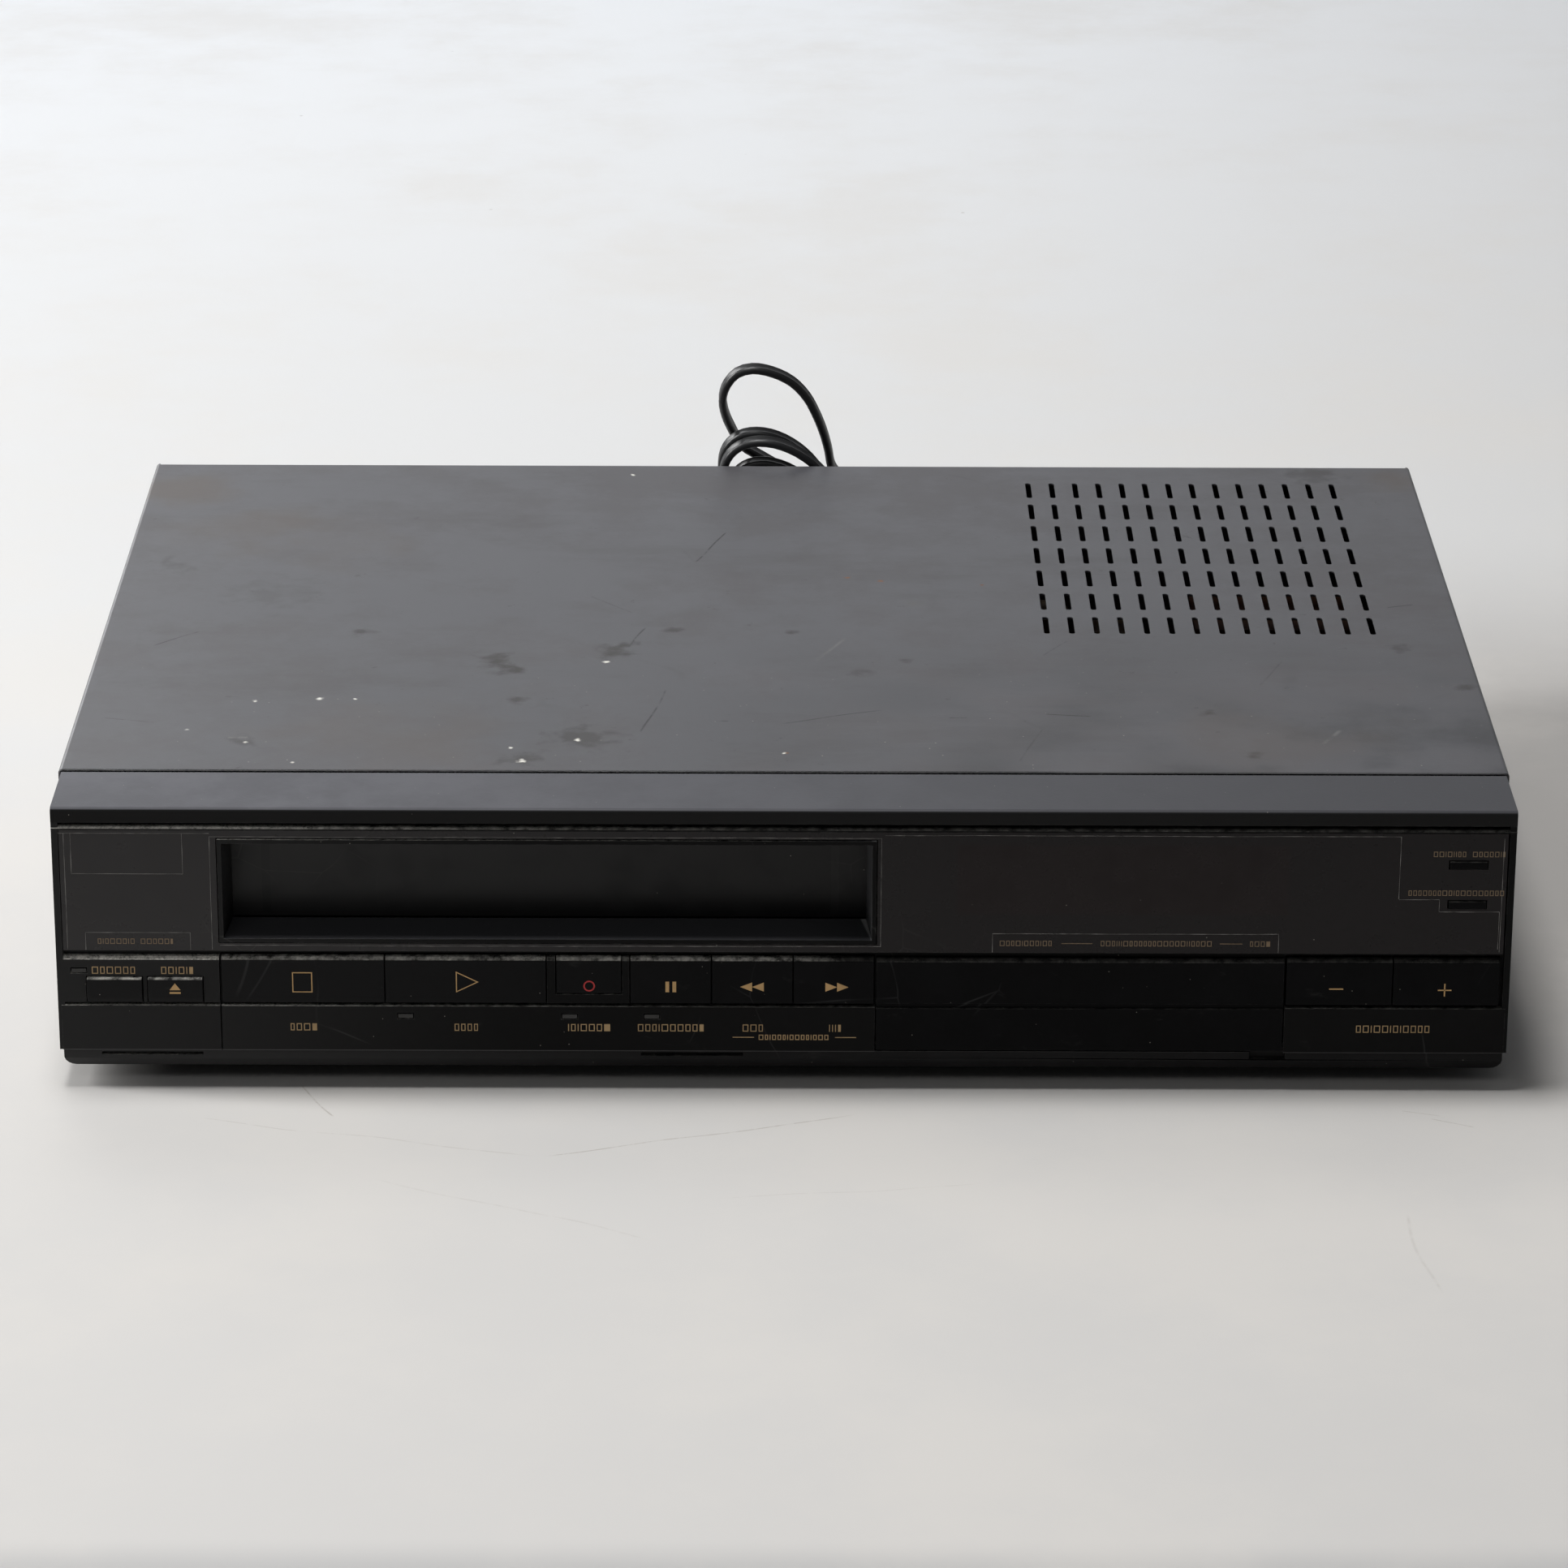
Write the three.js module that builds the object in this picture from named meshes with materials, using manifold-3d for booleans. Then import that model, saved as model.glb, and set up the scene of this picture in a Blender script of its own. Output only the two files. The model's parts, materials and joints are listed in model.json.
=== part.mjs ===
// A front-loading video cassette recorder as its separate pieces, in millimetres.
// X runs across the front, Y back from the front face and Z up from the surface it stands on.
import * as THREE from 'three';
import { mergeVertices } from 'three/addons/utils/BufferGeometryUtils.js';
import Module from 'manifold-3d';

const wasm = await Module();
wasm.setup();

// Clearances and counts that every piece shares
const seatGap = 0.3;
const runGap = 0.4;
const overrun = 1;
const mergeDistance = 1e-4;
const sides = { small: 12, round: 24, large: 48 };

// Front panel: the moulded front with its brow, wall, key surrounds and slot tunnel. Places across the
// front are measured from its left end, and those called fromRight from its right end.
const panel = {
  width: 434, bottom: 12.4, top: 90, edgeRadius: 1.4, roofDepth: 30.2, roofThickness: 3, cheek: 2,
  cheekFront: 0.2, browBottom: 85.4, ledgeTop: 84, ledgeBottom: 83.1, ledgeChamfer: 0.5, wallFront: 2.7,
  wall: 2, tongueReach: 9, tongueThickness: 1.6, tongueLap: 4,
};
const keyRow = {
  bottom: 27.8, top: 42.4, chamfer: 0.9, face: 0.2, stripTop: 26.8, gap: 0.3, headroom: 0.6,
};
const leftBlock = { width: 48.5 };
const middleStrip = { left: 48.9, right: 244.3 };
const rightStrip = { width: 67.1 };
const boss = {
  radius: 3, fromLeft: [[17, 19], [77, 19], [229, 19]], fromRight: [[52, 19], [17, 82], [177, 82]],
};

// Keys in groups, each group in one window of the front panel, given from left to right
const keyGroups = [
  { fromLeft: 48.8, bottom: 27.8, keys: [['stop_key', 48.6], ['play_key', 48]] },
  { fromLeft: 148.8, bottom: 31, keys: [['record_key', 19.4]] },
  {
    fromLeft: 170.9, bottom: 27.8,
    keys: [['pause_key', 24.1], ['rewind_key', 24.1], ['fast_forward_key', 24]],
  },
  { fromRight: 67.1, bottom: 27.8, keys: [['channel_down_key', 31.7], ['channel_up_key', 31.7]] },
];
const keyCap = { back: 3.2, travel: 1.2, stem: 5, stemHeight: 35 };
const recordSurround = { left: 146.3, right: 170.9, front: 0.2 };
const pushButton = { top: 35.9, facetTop: 29.9, proud: 1.2, facetProud: 0.1, chamfer: 0.5, travel: 1.2 };
const pushButtons = [['operate_button', 8.9, 25.4], ['eject_button', 27.1, 43.5]];
const tinyButton = { width: 11.2, height: 2.3, proud: 0.8, travel: 0.8, back: 6 };
const tinyButtonsFromRight = [['counter_reset_button', 13.9, 73], ['display_button', 13.8, 60.3]];

// Smoked window over the wall, and what shines through it
const fascia = { left: 2.2, fromRight: 2.4, top: 82.9, bottom: 44.4, face: 0.4, thickness: 2 };
const displayHole = { left: 268.6, fromRight: 67, bottom: 56.8, top: 79 };
const displayTube = { lap: 1.5, thickness: 7, pipRadius: 1.6, pipReach: 5 };
const lamp = { width: 4.4, height: 1.3, face: 0.2, reach: 12 };
const operateLampPlace = [6.6, 38];
const functionLamps = { places: [103.9, 153, 177.6], height: 23.6, prong: 7, bar: 2, barHeight: 3 };

// Cassette slot with its tunnel and inward-swinging door
const slot = { centre: 146.7, width: 193, bottom: 48.5, height: 30.3, ring: 1.3, depth: 17, taper: 1.4 };
const cassetteDoor = {
  halfWidth: 95.4, thickness: 1.5, bottom: 49, top: 78.8, pivotDrop: 0.6, pinRadius: 1.1, pinReach: 1.7,
  lug: 1.8, lugDepth: 4.5, lugDrop: 5,
};

// Timer door, hinged at its lower edge, and the recess behind it
const timerDoor = {
  bottom: 12.9, top: 42.2, thickness: 2.1, pivotRise: 1.5, pinRadius: 0.8, pinReach: 1.3,
  grooveBottom: 26.4, grooveTop: 28, grooveDepth: 0.8, chamfer: 0.9,
};
const recess = { leftInset: 2.3, rightInset: 2, bottom: 16.8, top: 41.2, back: 14, wall: 1.5 };
const trackingKnob = {
  inset: 19.5, height: 28.5, radius: 7, front: 7.5, hub: 2.5, grip: 1, grips: 12, rib: 0.6,
};
const timerKey = { share: 0.2553, height: 28.5, width: 10, depth: 5, travel: 1, front: 9 };

// Board that carries the switches behind the keys
const controlBoard = {
  left: 11, fromRight: 5, bottom: 13.5, lowTop: 46, stepLeft: 253, top: 84, front: 19.5, thickness: 1.6,
  switchSide: 6, switchReach: 1.7,
};

// Steel cover with its rows of vent slots
const cover = { front: 32.8, rear: 334.4, skin: 1, proud: 1.2, bottom: 12.6, rearLip: 10 };
const vents = {
  columns: 14, rows: 7, pitchX: 8.05, pitchY: 23.4, width: 2.2, length: 16, fromRight: 132.5,
  fromRear: 168,
};
const screw = { headRadius: 4, head: 1.8, radius: 2, length: 9, height: 26, front: 112, fromRear: 72.4 };

// Base frame with its chin, rails, posts and rubber feet
const base = {
  inset: 1, bottom: 6, chinTop: 12.1, chinFront: 1.3, bevelDepth: 2.3, bevelHeight: 3.2, cornerRadius: 3.5,
  wall: 2.5,
  floor: 2, fromRear: 2.8, chinWall: 4, railHeight: 62, rail: 2, railFront: 46, postRadius: 4,
};
const chinSlots = {
  fromLeft: [[12.4, 42.8, 10.3, 11.2], [174.3, 204.8, 10.3, 11.4]], fromRight: [[77, 66.4, 9.6, 12.6]],
};
const chinSlotDepth = 1.6;
const foot = { radius: 13, tipRadius: 11.5, rim: 1.5, inset: 41, front: 42, fromRear: 38.4 };

// Rear panel with the aerial sockets, the audio-video socket and the cord's strain relief. Places called
// fromRear are measured forwards from the cover's rear end.
const rearPanel = { thickness: 1.2, inset: 1 };
const aerial = { x: 22, heights: [25, 47], radius: 6, bore: 1.6, reach: 9.1, depth: 7 };
const tuner = { left: 8, right: 36, fromRear: 66.4, height: 45 };
const scart = {
  left: 105, right: 155, bottom: 21, top: 37, fromRear: 14.4, reach: 2, mouth: 2, mouthDepth: 9,
};
const relief = {
  x: 52, height: 30, neckRadius: 6, flangeRadius: 8, flange: 2.2, collarRadius: 7.6, collar: 2.4,
  rootRadius: 5.2, tipRadius: 3.4, length: 23,
};

// Main circuit board and power supply. Capacitors, chips and transformer stand from the right and the rear.
const mainBoard = {
  inset: 12, length: 139, fromRear: 5.4, bottom: 13.4, thickness: 1.6, postRadius: 3.5,
  leftPosts: [[21, 134.4], [157, 12.4], [21, 84.4]], rightPosts: [[21, 134.4], [21, 12.4], [157, 134.4]],
};
const capacitors = [[129, 34.4, 11, 34], [103, 34.4, 9, 28], [125, 58.4, 8, 24]];
const chips = [
  [157, 114.4, 28, 12, 5], [237, 42.4, 34, 14, 5], [127, 109.4, 16, 16, 6], [247, 64.4, 20, 10, 5],
];
const transformer = { fromRight: 51, fromRear: 62.4, core: [54, 44, 44], winding: [42, 58, 30] };

// Deck: the plate that carries the tape transport
const deck = { bottom: 26.2, thickness: 1.6, halfWidth: 108, front: 25, rear: 262, postInset: 8 };
const reel = {
  spacing: 92.5, y: 89, radius: 22.5, disc: 3, hubRadius: 11, hub: 2.4, spindle: 4.6, top: 43, fins: 3,
  fin: 1.6, finReach: 2.4, stud: 1.9, studTop: 38,
};
const drum = {
  y: 196, radius: 31, tilt: 5.9, bottom: 38.5, lower: 16, upper: 15.4, pedestal: 29, cap: 12,
  capHeight: 2,
};
const capstan = {
  x: 66, y: 158, radius: 2, top: 61, flywheel: 24, flywheelBottom: 17, flywheelHeight: 6, sleeve: 5,
  sleeveTop: 32.5,
};
const pinch = {
  x: 90, y: 178, roller: 6, rollerHeight: 18, reach: 24.67, restAngle: 177.4, plateBottom: 34, plate: 3,
  hub: 5, end: 4.5, stud: 2.1, pin: 1.5,
};
const guide = {
  startX: 26, startY: 150, endX: 39.5, endY: 200, base: 6, baseHeight: 3.6, post: 3, top: 56, pin: 1.4,
  pinDrop: 3.2, flange: 4,
};
const tension = {
  x: -82, y: 150, reach: 17.5, angle: 28, plate: 1.6, width: 5, pin: 1.4, pinTop: 54, stud: 1.4,
};
const eraseHead = { x: -56, y: 169, size: [9, 8], top: 53, foot: 2 };
const audioHead = { x: 49.5, y: 172, size: [11, 9], top: 54, foot: 2 };
const cam = {
  y: 236, radius: 20, bottom: 17.5, height: 5, stud: 3, studBottom: 16.4, teeth: 24, tooth: 1.4, track: 2,
};

// Holder that takes the cassette in and lowers it
const holder = {
  inner: 95.8, wall: 1.2, front: 31, plateFront: 50, rear: 108, floor: 50.2, ledge: 1.2, ledgeReach: 12.2,
  ceiling: 77.2, pinY: 83, pinZ: 64, pinRadius: 1.3,
};
const carriage = { travelIn: 46, travelDown: 18 };
const slider = {
  inner: 98.5, wall: 1.3, front: 62, rear: 104, bottom: 40, top: 83, beam: 1.4, pinInset: 8, pinZ: 70,
  pinReach: 1.5,
};
const frame = { inner: 100.2, wall: 1.5, front: 27, rear: 168, top: 84, flange: 6 };
const motor = {
  radius: 9, height: 52, front: 70, rear: 108, shaft: 1.5, shaftReach: 12, worm: 3.4, wormLength: 9,
};

// Flat two-core mains lead: section, stored hank, and the points its free stretches follow, with their
// second number counted back from the cover's rear end
const lead = { width: 5.2, thickness: 2.7, tube: 1.6, tubeSides: 8, endStraight: 5.2, step: 8 };
// Loops' heads: sideways, upwards and wider by so much, at the start and then at the end of each turn
const hank = {
  centre: -4, lean: 13, innerRadius: 15.8, pitch: 3.6, layerGap: 0.6, turns: 5, run: 46, arcSteps: 8,
  runSteps: 4, firstStep: 2, coverGap: 0.6, headSlope: 0.4,
  heads: [[0, 0, 0], [2, 9.4, -3], [2, -4, -3], [3, -8, -2.2], [3, 2, -2.6], [3.6, 7, -3]],
};
const archRoute = [
  [52, 24.7, 30], [52, 32.1, 30.2], [51.4, 41.1, 33], [48.8, 46.6, 40.6], [43.4, 46, 50.2],
  [35, 40.6, 60], [27, 33, 69.6], [20.9, 25.6, 77], [17.1, 19.6, 83.7], [15.8, 16.1, 91.2],
  [14, 13.1, 98.5], [11.5, 10.1, 105.7], [8.1, 7.6, 112.8], [3, 5.6, 118.8], [-3.7, 4.2, 122.6],
  [-10.8, 3.4, 124.1], [-16.1, 3.4, 122.5], [-19.5, 4.2, 118.4], [-21.1, 7.6, 112.2],
  [-20.3, 12.1, 105.3], [-18.2, 16.2, 98.9], [-14.6, 19.6, 91.6], [-6.6, 22.6, 85.6], [2.6, 24, 79.4],
  [11, 23.6, 72.4], [17.2, 21.2, 64.6], [20, 18.6, 55.6],
];
const tailRoute = [
  [20.4, 17.2, 13.4], [16.4, 15.6, 6.8], [8.6, 14.6, 2.8], [-3, 14.2, 1.9], [-24, 14.6, 1.9],
  [-44, 16.2, 1.9], [-60, 18, 1.9], [-71, 19.2, 3], [-81, 19.8, 5.6], [-89, 20, 6.85], [-96, 20, 6.85],
];
const plug = {
  length: 34, width: 35, height: 13.7, neck: 9, neckLength: 12, pin: 2, pinLength: 19, pinSpacing: 18.6,
  corner: 3,
};

// Colours and finishes
const finish = (color, roughness, metalness = 0) => (
  new THREE.MeshStandardMaterial({ color, roughness, metalness }));
const looks = {
  cover: finish(0x2c2d31, 0.55, 0.2), panel: finish(0x1b1b1d, 0.5), key: finish(0x19191b, 0.42),
  smoked: finish(0x141416, 0.16), black: finish(0x0e0e0f, 0.6), lampGlass: finish(0x3a3a3c, 0.4),
  display: finish(0x2a1414, 0.3), zinc: finish(0xa9abad, 0.42, 0.9), steel: finish(0xc8c9ca, 0.3, 1),
  aluminium: finish(0xb9bbbd, 0.38, 1), white: finish(0xd9d6cc, 0.5), board: finish(0x7a5a2c, 0.6),
  copper: finish(0x8c4a26, 0.45, 0.6), rubber: finish(0x161616, 0.85), lead: finish(0x121213, 0.5),
};

const group = new THREE.Group();
const fromFront = new THREE.Group();
group.add(fromFront);

// Shapes as solids that can be joined and cut
function asSolid(geometry) {
  const bare = new THREE.BufferGeometry();
  bare.setAttribute('position', geometry.getAttribute('position').clone());
  if (geometry.getIndex()) {
    bare.setIndex(geometry.getIndex().clone());
  }
  const merged = mergeVertices(bare, mergeDistance);
  const mesh = new wasm.Mesh({
    numProp: 3,
    vertProperties: merged.getAttribute('position').array,
    triVerts: Uint32Array.from(merged.getIndex().array),
  });
  return new wasm.Manifold(mesh);
}

function join(first, ...others) {
  return others.reduce((whole, other) => whole.add(other), first);
}

function cut(whole, ...tools) {
  return tools.reduce((left, tool) => left.subtract(tool), whole);
}

function block(x, y, z) {
  const geometry = new THREE.BoxGeometry(x[1] - x[0], y[1] - y[0], z[1] - z[0]);
  geometry.translate((x[0] + x[1]) / 2, (y[0] + y[1]) / 2, (z[0] + z[1]) / 2);
  return asSolid(geometry);
}

// A rod along one axis; the place gives its other two coordinates in X, Y, Z order
function rod(axis, radius, span, place, faces = sides.small, farRadius = radius) {
  const geometry = new THREE.CylinderGeometry(farRadius, radius, span[1] - span[0], faces);
  const middle = (span[0] + span[1]) / 2;
  if (axis === 'x') {
    geometry.rotateZ(-Math.PI / 2);
    geometry.translate(middle, place[0], place[1]);
  } else if (axis === 'y') {
    geometry.translate(place[0], middle, place[1]);
  } else {
    geometry.rotateX(Math.PI / 2);
    geometry.translate(place[0], place[1], middle);
  }
  return asSolid(geometry);
}

// An outline carried along one axis: (y, z) along x, (x, z) along y and (x, y) along z
function prism(axis, points, span) {
  const shape = new THREE.Shape(points.map(([a, b]) => new THREE.Vector2(a, b)));
  const geometry = new THREE.ExtrudeGeometry(shape, { depth: span[1] - span[0], bevelEnabled: false });
  const turn = new THREE.Matrix4();
  if (axis === 'x') {
    turn.makeBasis(new THREE.Vector3(0, 1, 0), new THREE.Vector3(0, 0, 1), new THREE.Vector3(1, 0, 0));
    turn.setPosition(span[0], 0, 0);
  } else if (axis === 'y') {
    turn.makeBasis(new THREE.Vector3(1, 0, 0), new THREE.Vector3(0, 0, 1), new THREE.Vector3(0, -1, 0));
    turn.setPosition(0, span[1], 0);
  } else {
    turn.setPosition(0, 0, span[0]);
  }
  return asSolid(geometry.applyMatrix4(turn));
}

function quarterArc(centre, radius, from, steps = 4) {
  return Array.from({ length: steps + 1 }, (_, i) => {
    const angle = from - (i / steps) * (Math.PI / 2);
    return [centre[0] + radius * Math.cos(angle), centre[1] + radius * Math.sin(angle)];
  });
}

function grown(span, by) {
  return [span[0] - by, span[1] + by];
}

function add(name, solid, material, parent = fromFront) {
  const { vertProperties, triVerts } = solid.getMesh();
  const geometry = new THREE.BufferGeometry();
  geometry.setAttribute('position', new THREE.BufferAttribute(Float32Array.from(vertProperties), 3));
  geometry.setIndex(new THREE.BufferAttribute(Uint32Array.from(triVerts), 1));
  const mesh = new THREE.Mesh(geometry, material);
  mesh.name = name;
  parent.add(mesh);
  return mesh;
}

// Places that several pieces share
const halfPanel = panel.width / 2;
const fromLeft = (distance) => distance - halfPanel;
const fromRight = (distance) => halfPanel - distance;
const fromRear = (distance) => cover.rear - distance;
const insideCheek = halfPanel - panel.cheek;
const wallBack = panel.wallFront + panel.wall;
const coverHalf = halfPanel + cover.proud;
const coverInner = coverHalf - cover.skin;
const tongueTop = panel.top - cover.skin - runGap;
const floorTop = base.bottom + base.floor;
const deckTop = deck.bottom + deck.thickness;
const deckSeat = deckTop + seatGap;
const boardSeat = mainBoard.bottom + mainBoard.thickness + seatGap;
const rearFace = cover.rear - cover.skin - seatGap;
const slotTop = slot.bottom + slot.height;
const tunnelHalf = slot.width / 2;
const ringHalf = tunnelHalf + slot.ring;
const doorFront = slot.depth + seatGap;
const doorPivotY = doorFront + cassetteDoor.thickness / 2;
const doorPivotZ = cassetteDoor.top - cassetteDoor.pivotDrop;
const timerPivotY = keyRow.face + timerDoor.thickness / 2;
const timerPivotZ = timerDoor.bottom + timerDoor.pivotRise;
const switchFace = controlBoard.front - controlBoard.switchReach;
const slotCentre = fromLeft(slot.centre);
const deckX = (x) => slotCentre + x;
const timerDoorX = [fromLeft(middleStrip.right) + runGap, fromRight(rightStrip.width) - runGap];
const recessX = [timerDoorX[0] + recess.leftInset, timerDoorX[1] - recess.rightInset];
const knobX = recessX[1] - trackingKnob.inset;
const timerKeyX = recessX[0] + timerKey.share * (recessX[1] - recessX[0]);
const displayX = [fromLeft(displayHole.left), fromRight(displayHole.fromRight)];
const operateLampX = fromLeft(operateLampPlace[0]);
const functionLampX = functionLamps.places.map(fromLeft);
const surroundX = [recordSurround.left, recordSurround.right].map(fromLeft);
const buttonsAcross = pushButtons.map(([name, ...ends]) => [name, ...ends.map(fromLeft)]);
const tinyButtons = tinyButtonsFromRight.map(([name, x, z]) => [name, fromRight(x), z]);
const keyRows = keyGroups.map(({ fromLeft: left, fromRight: right, bottom, keys }) => (
  { start: right ? fromRight(right) : fromLeft(left), bottom, keys }));
const bossPlaces = [
  ...boss.fromLeft.map(([x, z]) => [fromLeft(x), z]),
  ...boss.fromRight.map(([x, z]) => [fromRight(x), z]),
];
const chinSlotPlaces = [
  ...chinSlots.fromLeft.map(([a, b, ...height]) => [fromLeft(a), fromLeft(b), ...height]),
  ...chinSlots.fromRight.map(([a, b, ...height]) => [fromRight(a), fromRight(b), ...height]),
];
const baseHalf = halfPanel - base.inset;
const baseRear = fromRear(base.fromRear);
const boardRear = fromRear(mainBoard.fromRear);
const boardPosts = [
  ...mainBoard.leftPosts.map(([x, y]) => [fromLeft(x), fromRear(y)]),
  ...mainBoard.rightPosts.map(([x, y]) => [fromRight(x), fromRear(y)]),
];
const scartX = [scart.left, scart.right].map(fromLeft);
const aerialX = fromLeft(aerial.x);
const screwPlaces = [screw.front, fromRear(screw.fromRear)];
const bothSides = [-1, 1];
const deckPosts = [deck.front + deck.postInset, deck.rear - deck.postInset].flatMap((y) => bothSides.map(
  (side) => [deckX(side * (deck.halfWidth - deck.postInset)), y]));

function span(a, b) {
  return a < b ? [a, b] : [b, a];
}

// Front panel
function keyWindows() {
  return keyRows.map(({ start, bottom, keys }) => {
    const width = keys.reduce((sum, key) => sum + key[1] + keyRow.gap, keyRow.gap);
    const lowest = bottom - keyRow.gap;
    return block([start, start + width], [-overrun, wallBack + overrun],
      [lowest, keyRow.top + keyRow.headroom]);
  });
}

function chamferedBar(x, front, bottom, top, back) {
  return prism('x', [[back, bottom], [front, bottom], [front, top - keyRow.chamfer],
    [front + keyRow.chamfer, top], [back, top]].reverse(), x);
}

function frontPanel() {
  const back = wallBack;
  const roofUnder = panel.top - panel.roofThickness;
  const lipZ = panel.ledgeTop;
  const profile = [
    [0, panel.browBottom],
    ...quarterArc([panel.edgeRadius, panel.top - panel.edgeRadius], panel.edgeRadius, Math.PI),
    [panel.roofDepth, panel.top], [panel.roofDepth, roofUnder], [back, roofUnder], [back, panel.bottom],
    [panel.wallFront, panel.bottom], [panel.wallFront, panel.ledgeBottom], [0, panel.ledgeBottom],
    [0, lipZ - panel.ledgeChamfer], [panel.ledgeChamfer, lipZ], [panel.wallFront, lipZ],
    [panel.wallFront, panel.browBottom],
  ];
  const fullWidth = [-halfPanel, halfPanel];
  const strip = (x) => block(x, [0, back], [panel.bottom, keyRow.stripTop]);
  const tongueEnd = cover.front + panel.tongueReach;
  const tongueFront = panel.roofDepth - panel.tongueLap;
  const sideLap = coverInner - runGap;
  let body = join(
    prism('x', profile.reverse(), fullWidth),
    block([-sideLap, sideLap], [tongueFront, tongueEnd], [tongueTop - panel.tongueThickness, tongueTop]),
    strip([-insideCheek - overrun, fromLeft(leftBlock.width)]),
    strip([middleStrip.left, middleStrip.right].map(fromLeft)),
    strip([fromRight(rightStrip.width), insideCheek + overrun]),
    chamferedBar([-insideCheek - overrun, fromLeft(leftBlock.width)], keyRow.face, keyRow.bottom,
      keyRow.top, back),
    block(grown(recessX, recess.wall), [panel.wallFront, recess.back + recess.wall],
      [recess.bottom - recess.wall, recess.top + recess.wall]),
    block([deckX(-ringHalf), deckX(ringHalf)], [0, slot.depth],
      [slot.bottom - slot.ring, slotTop + slot.ring]),
  );
  for (const side of bothSides) {
    const cheek = span(side * insideCheek, side * halfPanel);
    const tongue = span(side * (sideLap - panel.tongueThickness), side * sideLap);
    const lug = span(side * (ringHalf - cassetteDoor.lug), side * ringHalf).map(deckX);
    body = join(
      body,
      block(cheek, [panel.cheekFront, panel.roofDepth], [panel.bottom, roofUnder + overrun]),
      block(tongue, [tongueFront, tongueEnd], [panel.bottom + panel.tongueThickness, tongueTop]),
      block(lug, [slot.depth - overrun, slot.depth + cassetteDoor.lugDepth],
        [doorPivotZ - cassetteDoor.lugDrop, slotTop + slot.ring]),
    );
  }
  for (const [x, z] of bossPlaces) {
    body = join(body, rod('y', boss.radius, [back - overrun, controlBoard.front - seatGap], [x, z]));
  }
  body = cut(body, ...keyWindows());
  body = join(body, ...recordSurroundBars());
  return cut(body, ...panelOpenings());
}

function recordSurroundBars() {
  const record = keyRows[1];
  const width = record.keys[0][1] + 2 * keyRow.gap;
  const bars = [
    [surroundX[0], record.start],
    [record.start + width, surroundX[1]],
  ].map((x) => chamferedBar(x, recordSurround.front, keyRow.bottom, keyRow.top, wallBack));
  const lower = block(surroundX, [recordSurround.front, wallBack],
    [keyRow.bottom, record.bottom - keyRow.gap]);
  return [...bars, lower];
}

function panelOpenings() {
  const through = [-tinyButton.proud - overrun, wallBack + overrun];
  const inner = tunnelHalf - slot.taper;
  const tunnel = prism('z', [
    [deckX(-tunnelHalf), -overrun], [deckX(tunnelHalf), -overrun], [deckX(tunnelHalf), 0],
    [deckX(inner), slot.depth], [deckX(inner), slot.depth + overrun], [deckX(-inner), slot.depth + overrun],
    [deckX(-inner), slot.depth], [deckX(-tunnelHalf), 0],
  ], [slot.bottom, slotTop]);
  const openings = [
    tunnel,
    block(displayX, through, [displayHole.bottom, displayHole.top]),
    block(recessX, [-overrun, recess.back], [recess.bottom, recess.top]),
    block(grown(timerDoorX, runGap), [-overrun, panel.wallFront],
      [panel.bottom - overrun, keyRow.top + keyRow.headroom]),
    block(grown(timerDoorX, runGap),
      [-overrun, timerPivotY + timerDoor.pivotRise + runGap],
      [panel.bottom - overrun, timerPivotZ + timerDoor.thickness / 2 + runGap]),
    rod('x', timerDoor.pinRadius + seatGap, grown(timerDoorX, timerDoor.pinReach + runGap),
      [timerPivotY, timerPivotZ]),
    rod('x', cassetteDoor.pinRadius + seatGap, grown([deckX(-ringHalf), deckX(ringHalf)], overrun),
      [doorPivotY, doorPivotZ]),
    rod('y', trackingKnob.hub + runGap, [recess.back - overrun, recess.back + recess.wall + overrun],
      [knobX, trackingKnob.height]),
    block(grown([timerKeyX, timerKeyX], timerKey.width / 2 + seatGap),
      [recess.back - overrun, recess.back + recess.wall + overrun],
      grown([timerKey.height - timerKey.depth / 2, timerKey.height + timerKey.depth / 2], seatGap)),
    block(...lampSpan(operateLampX, operateLampPlace[1], seatGap, lamp.reach)),
    ...functionLampX.map((x) => block(...lampSpan(x, functionLamps.height, seatGap, lamp.reach))),
    ...buttonsAcross.map(([, left, right]) => block(grown([left, right], keyRow.gap),
      [-overrun, wallBack + overrun], [keyRow.bottom - overrun, pushButton.top + keyRow.gap])),
    ...tinyButtons.map((button) => block(...tinySpan(button, seatGap, through))),
  ];
  for (const side of bothSides) {
    const reach = span(side * (ringHalf - cassetteDoor.lug), side * (ringHalf + overrun)).map(deckX);
    openings.push(block(reach, [doorPivotY, doorPivotY + cassetteDoor.lugDepth],
      [doorPivotZ - cassetteDoor.pinRadius / 2, doorPivotZ + cassetteDoor.pinRadius / 2]));
  }
  return openings;
}

function lampSpan(x, z, gap, reach) {
  return [grown([x - lamp.width / 2, x + lamp.width / 2], gap), [-overrun, reach],
    grown([z - lamp.height / 2, z + lamp.height / 2], gap)];
}

function tinySpan([, x, z], gap, y) {
  return [grown([x - tinyButton.width / 2, x + tinyButton.width / 2], gap), y,
    grown([z - tinyButton.height / 2, z + tinyButton.height / 2], gap)];
}

function fasciaWindow() {
  const depth = [fascia.face, fascia.face + fascia.thickness];
  const through = grown(depth, overrun);
  return cut(
    block([fromLeft(fascia.left), fromRight(fascia.fromRight)], depth, [fascia.bottom, fascia.top]),
    block(grown([deckX(-ringHalf), deckX(ringHalf)], seatGap), through,
      grown([slot.bottom - slot.ring, slotTop + slot.ring], seatGap)),
    ...tinyButtons.map((button) => block(...tinySpan(button, seatGap, through))),
  );
}

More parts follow.
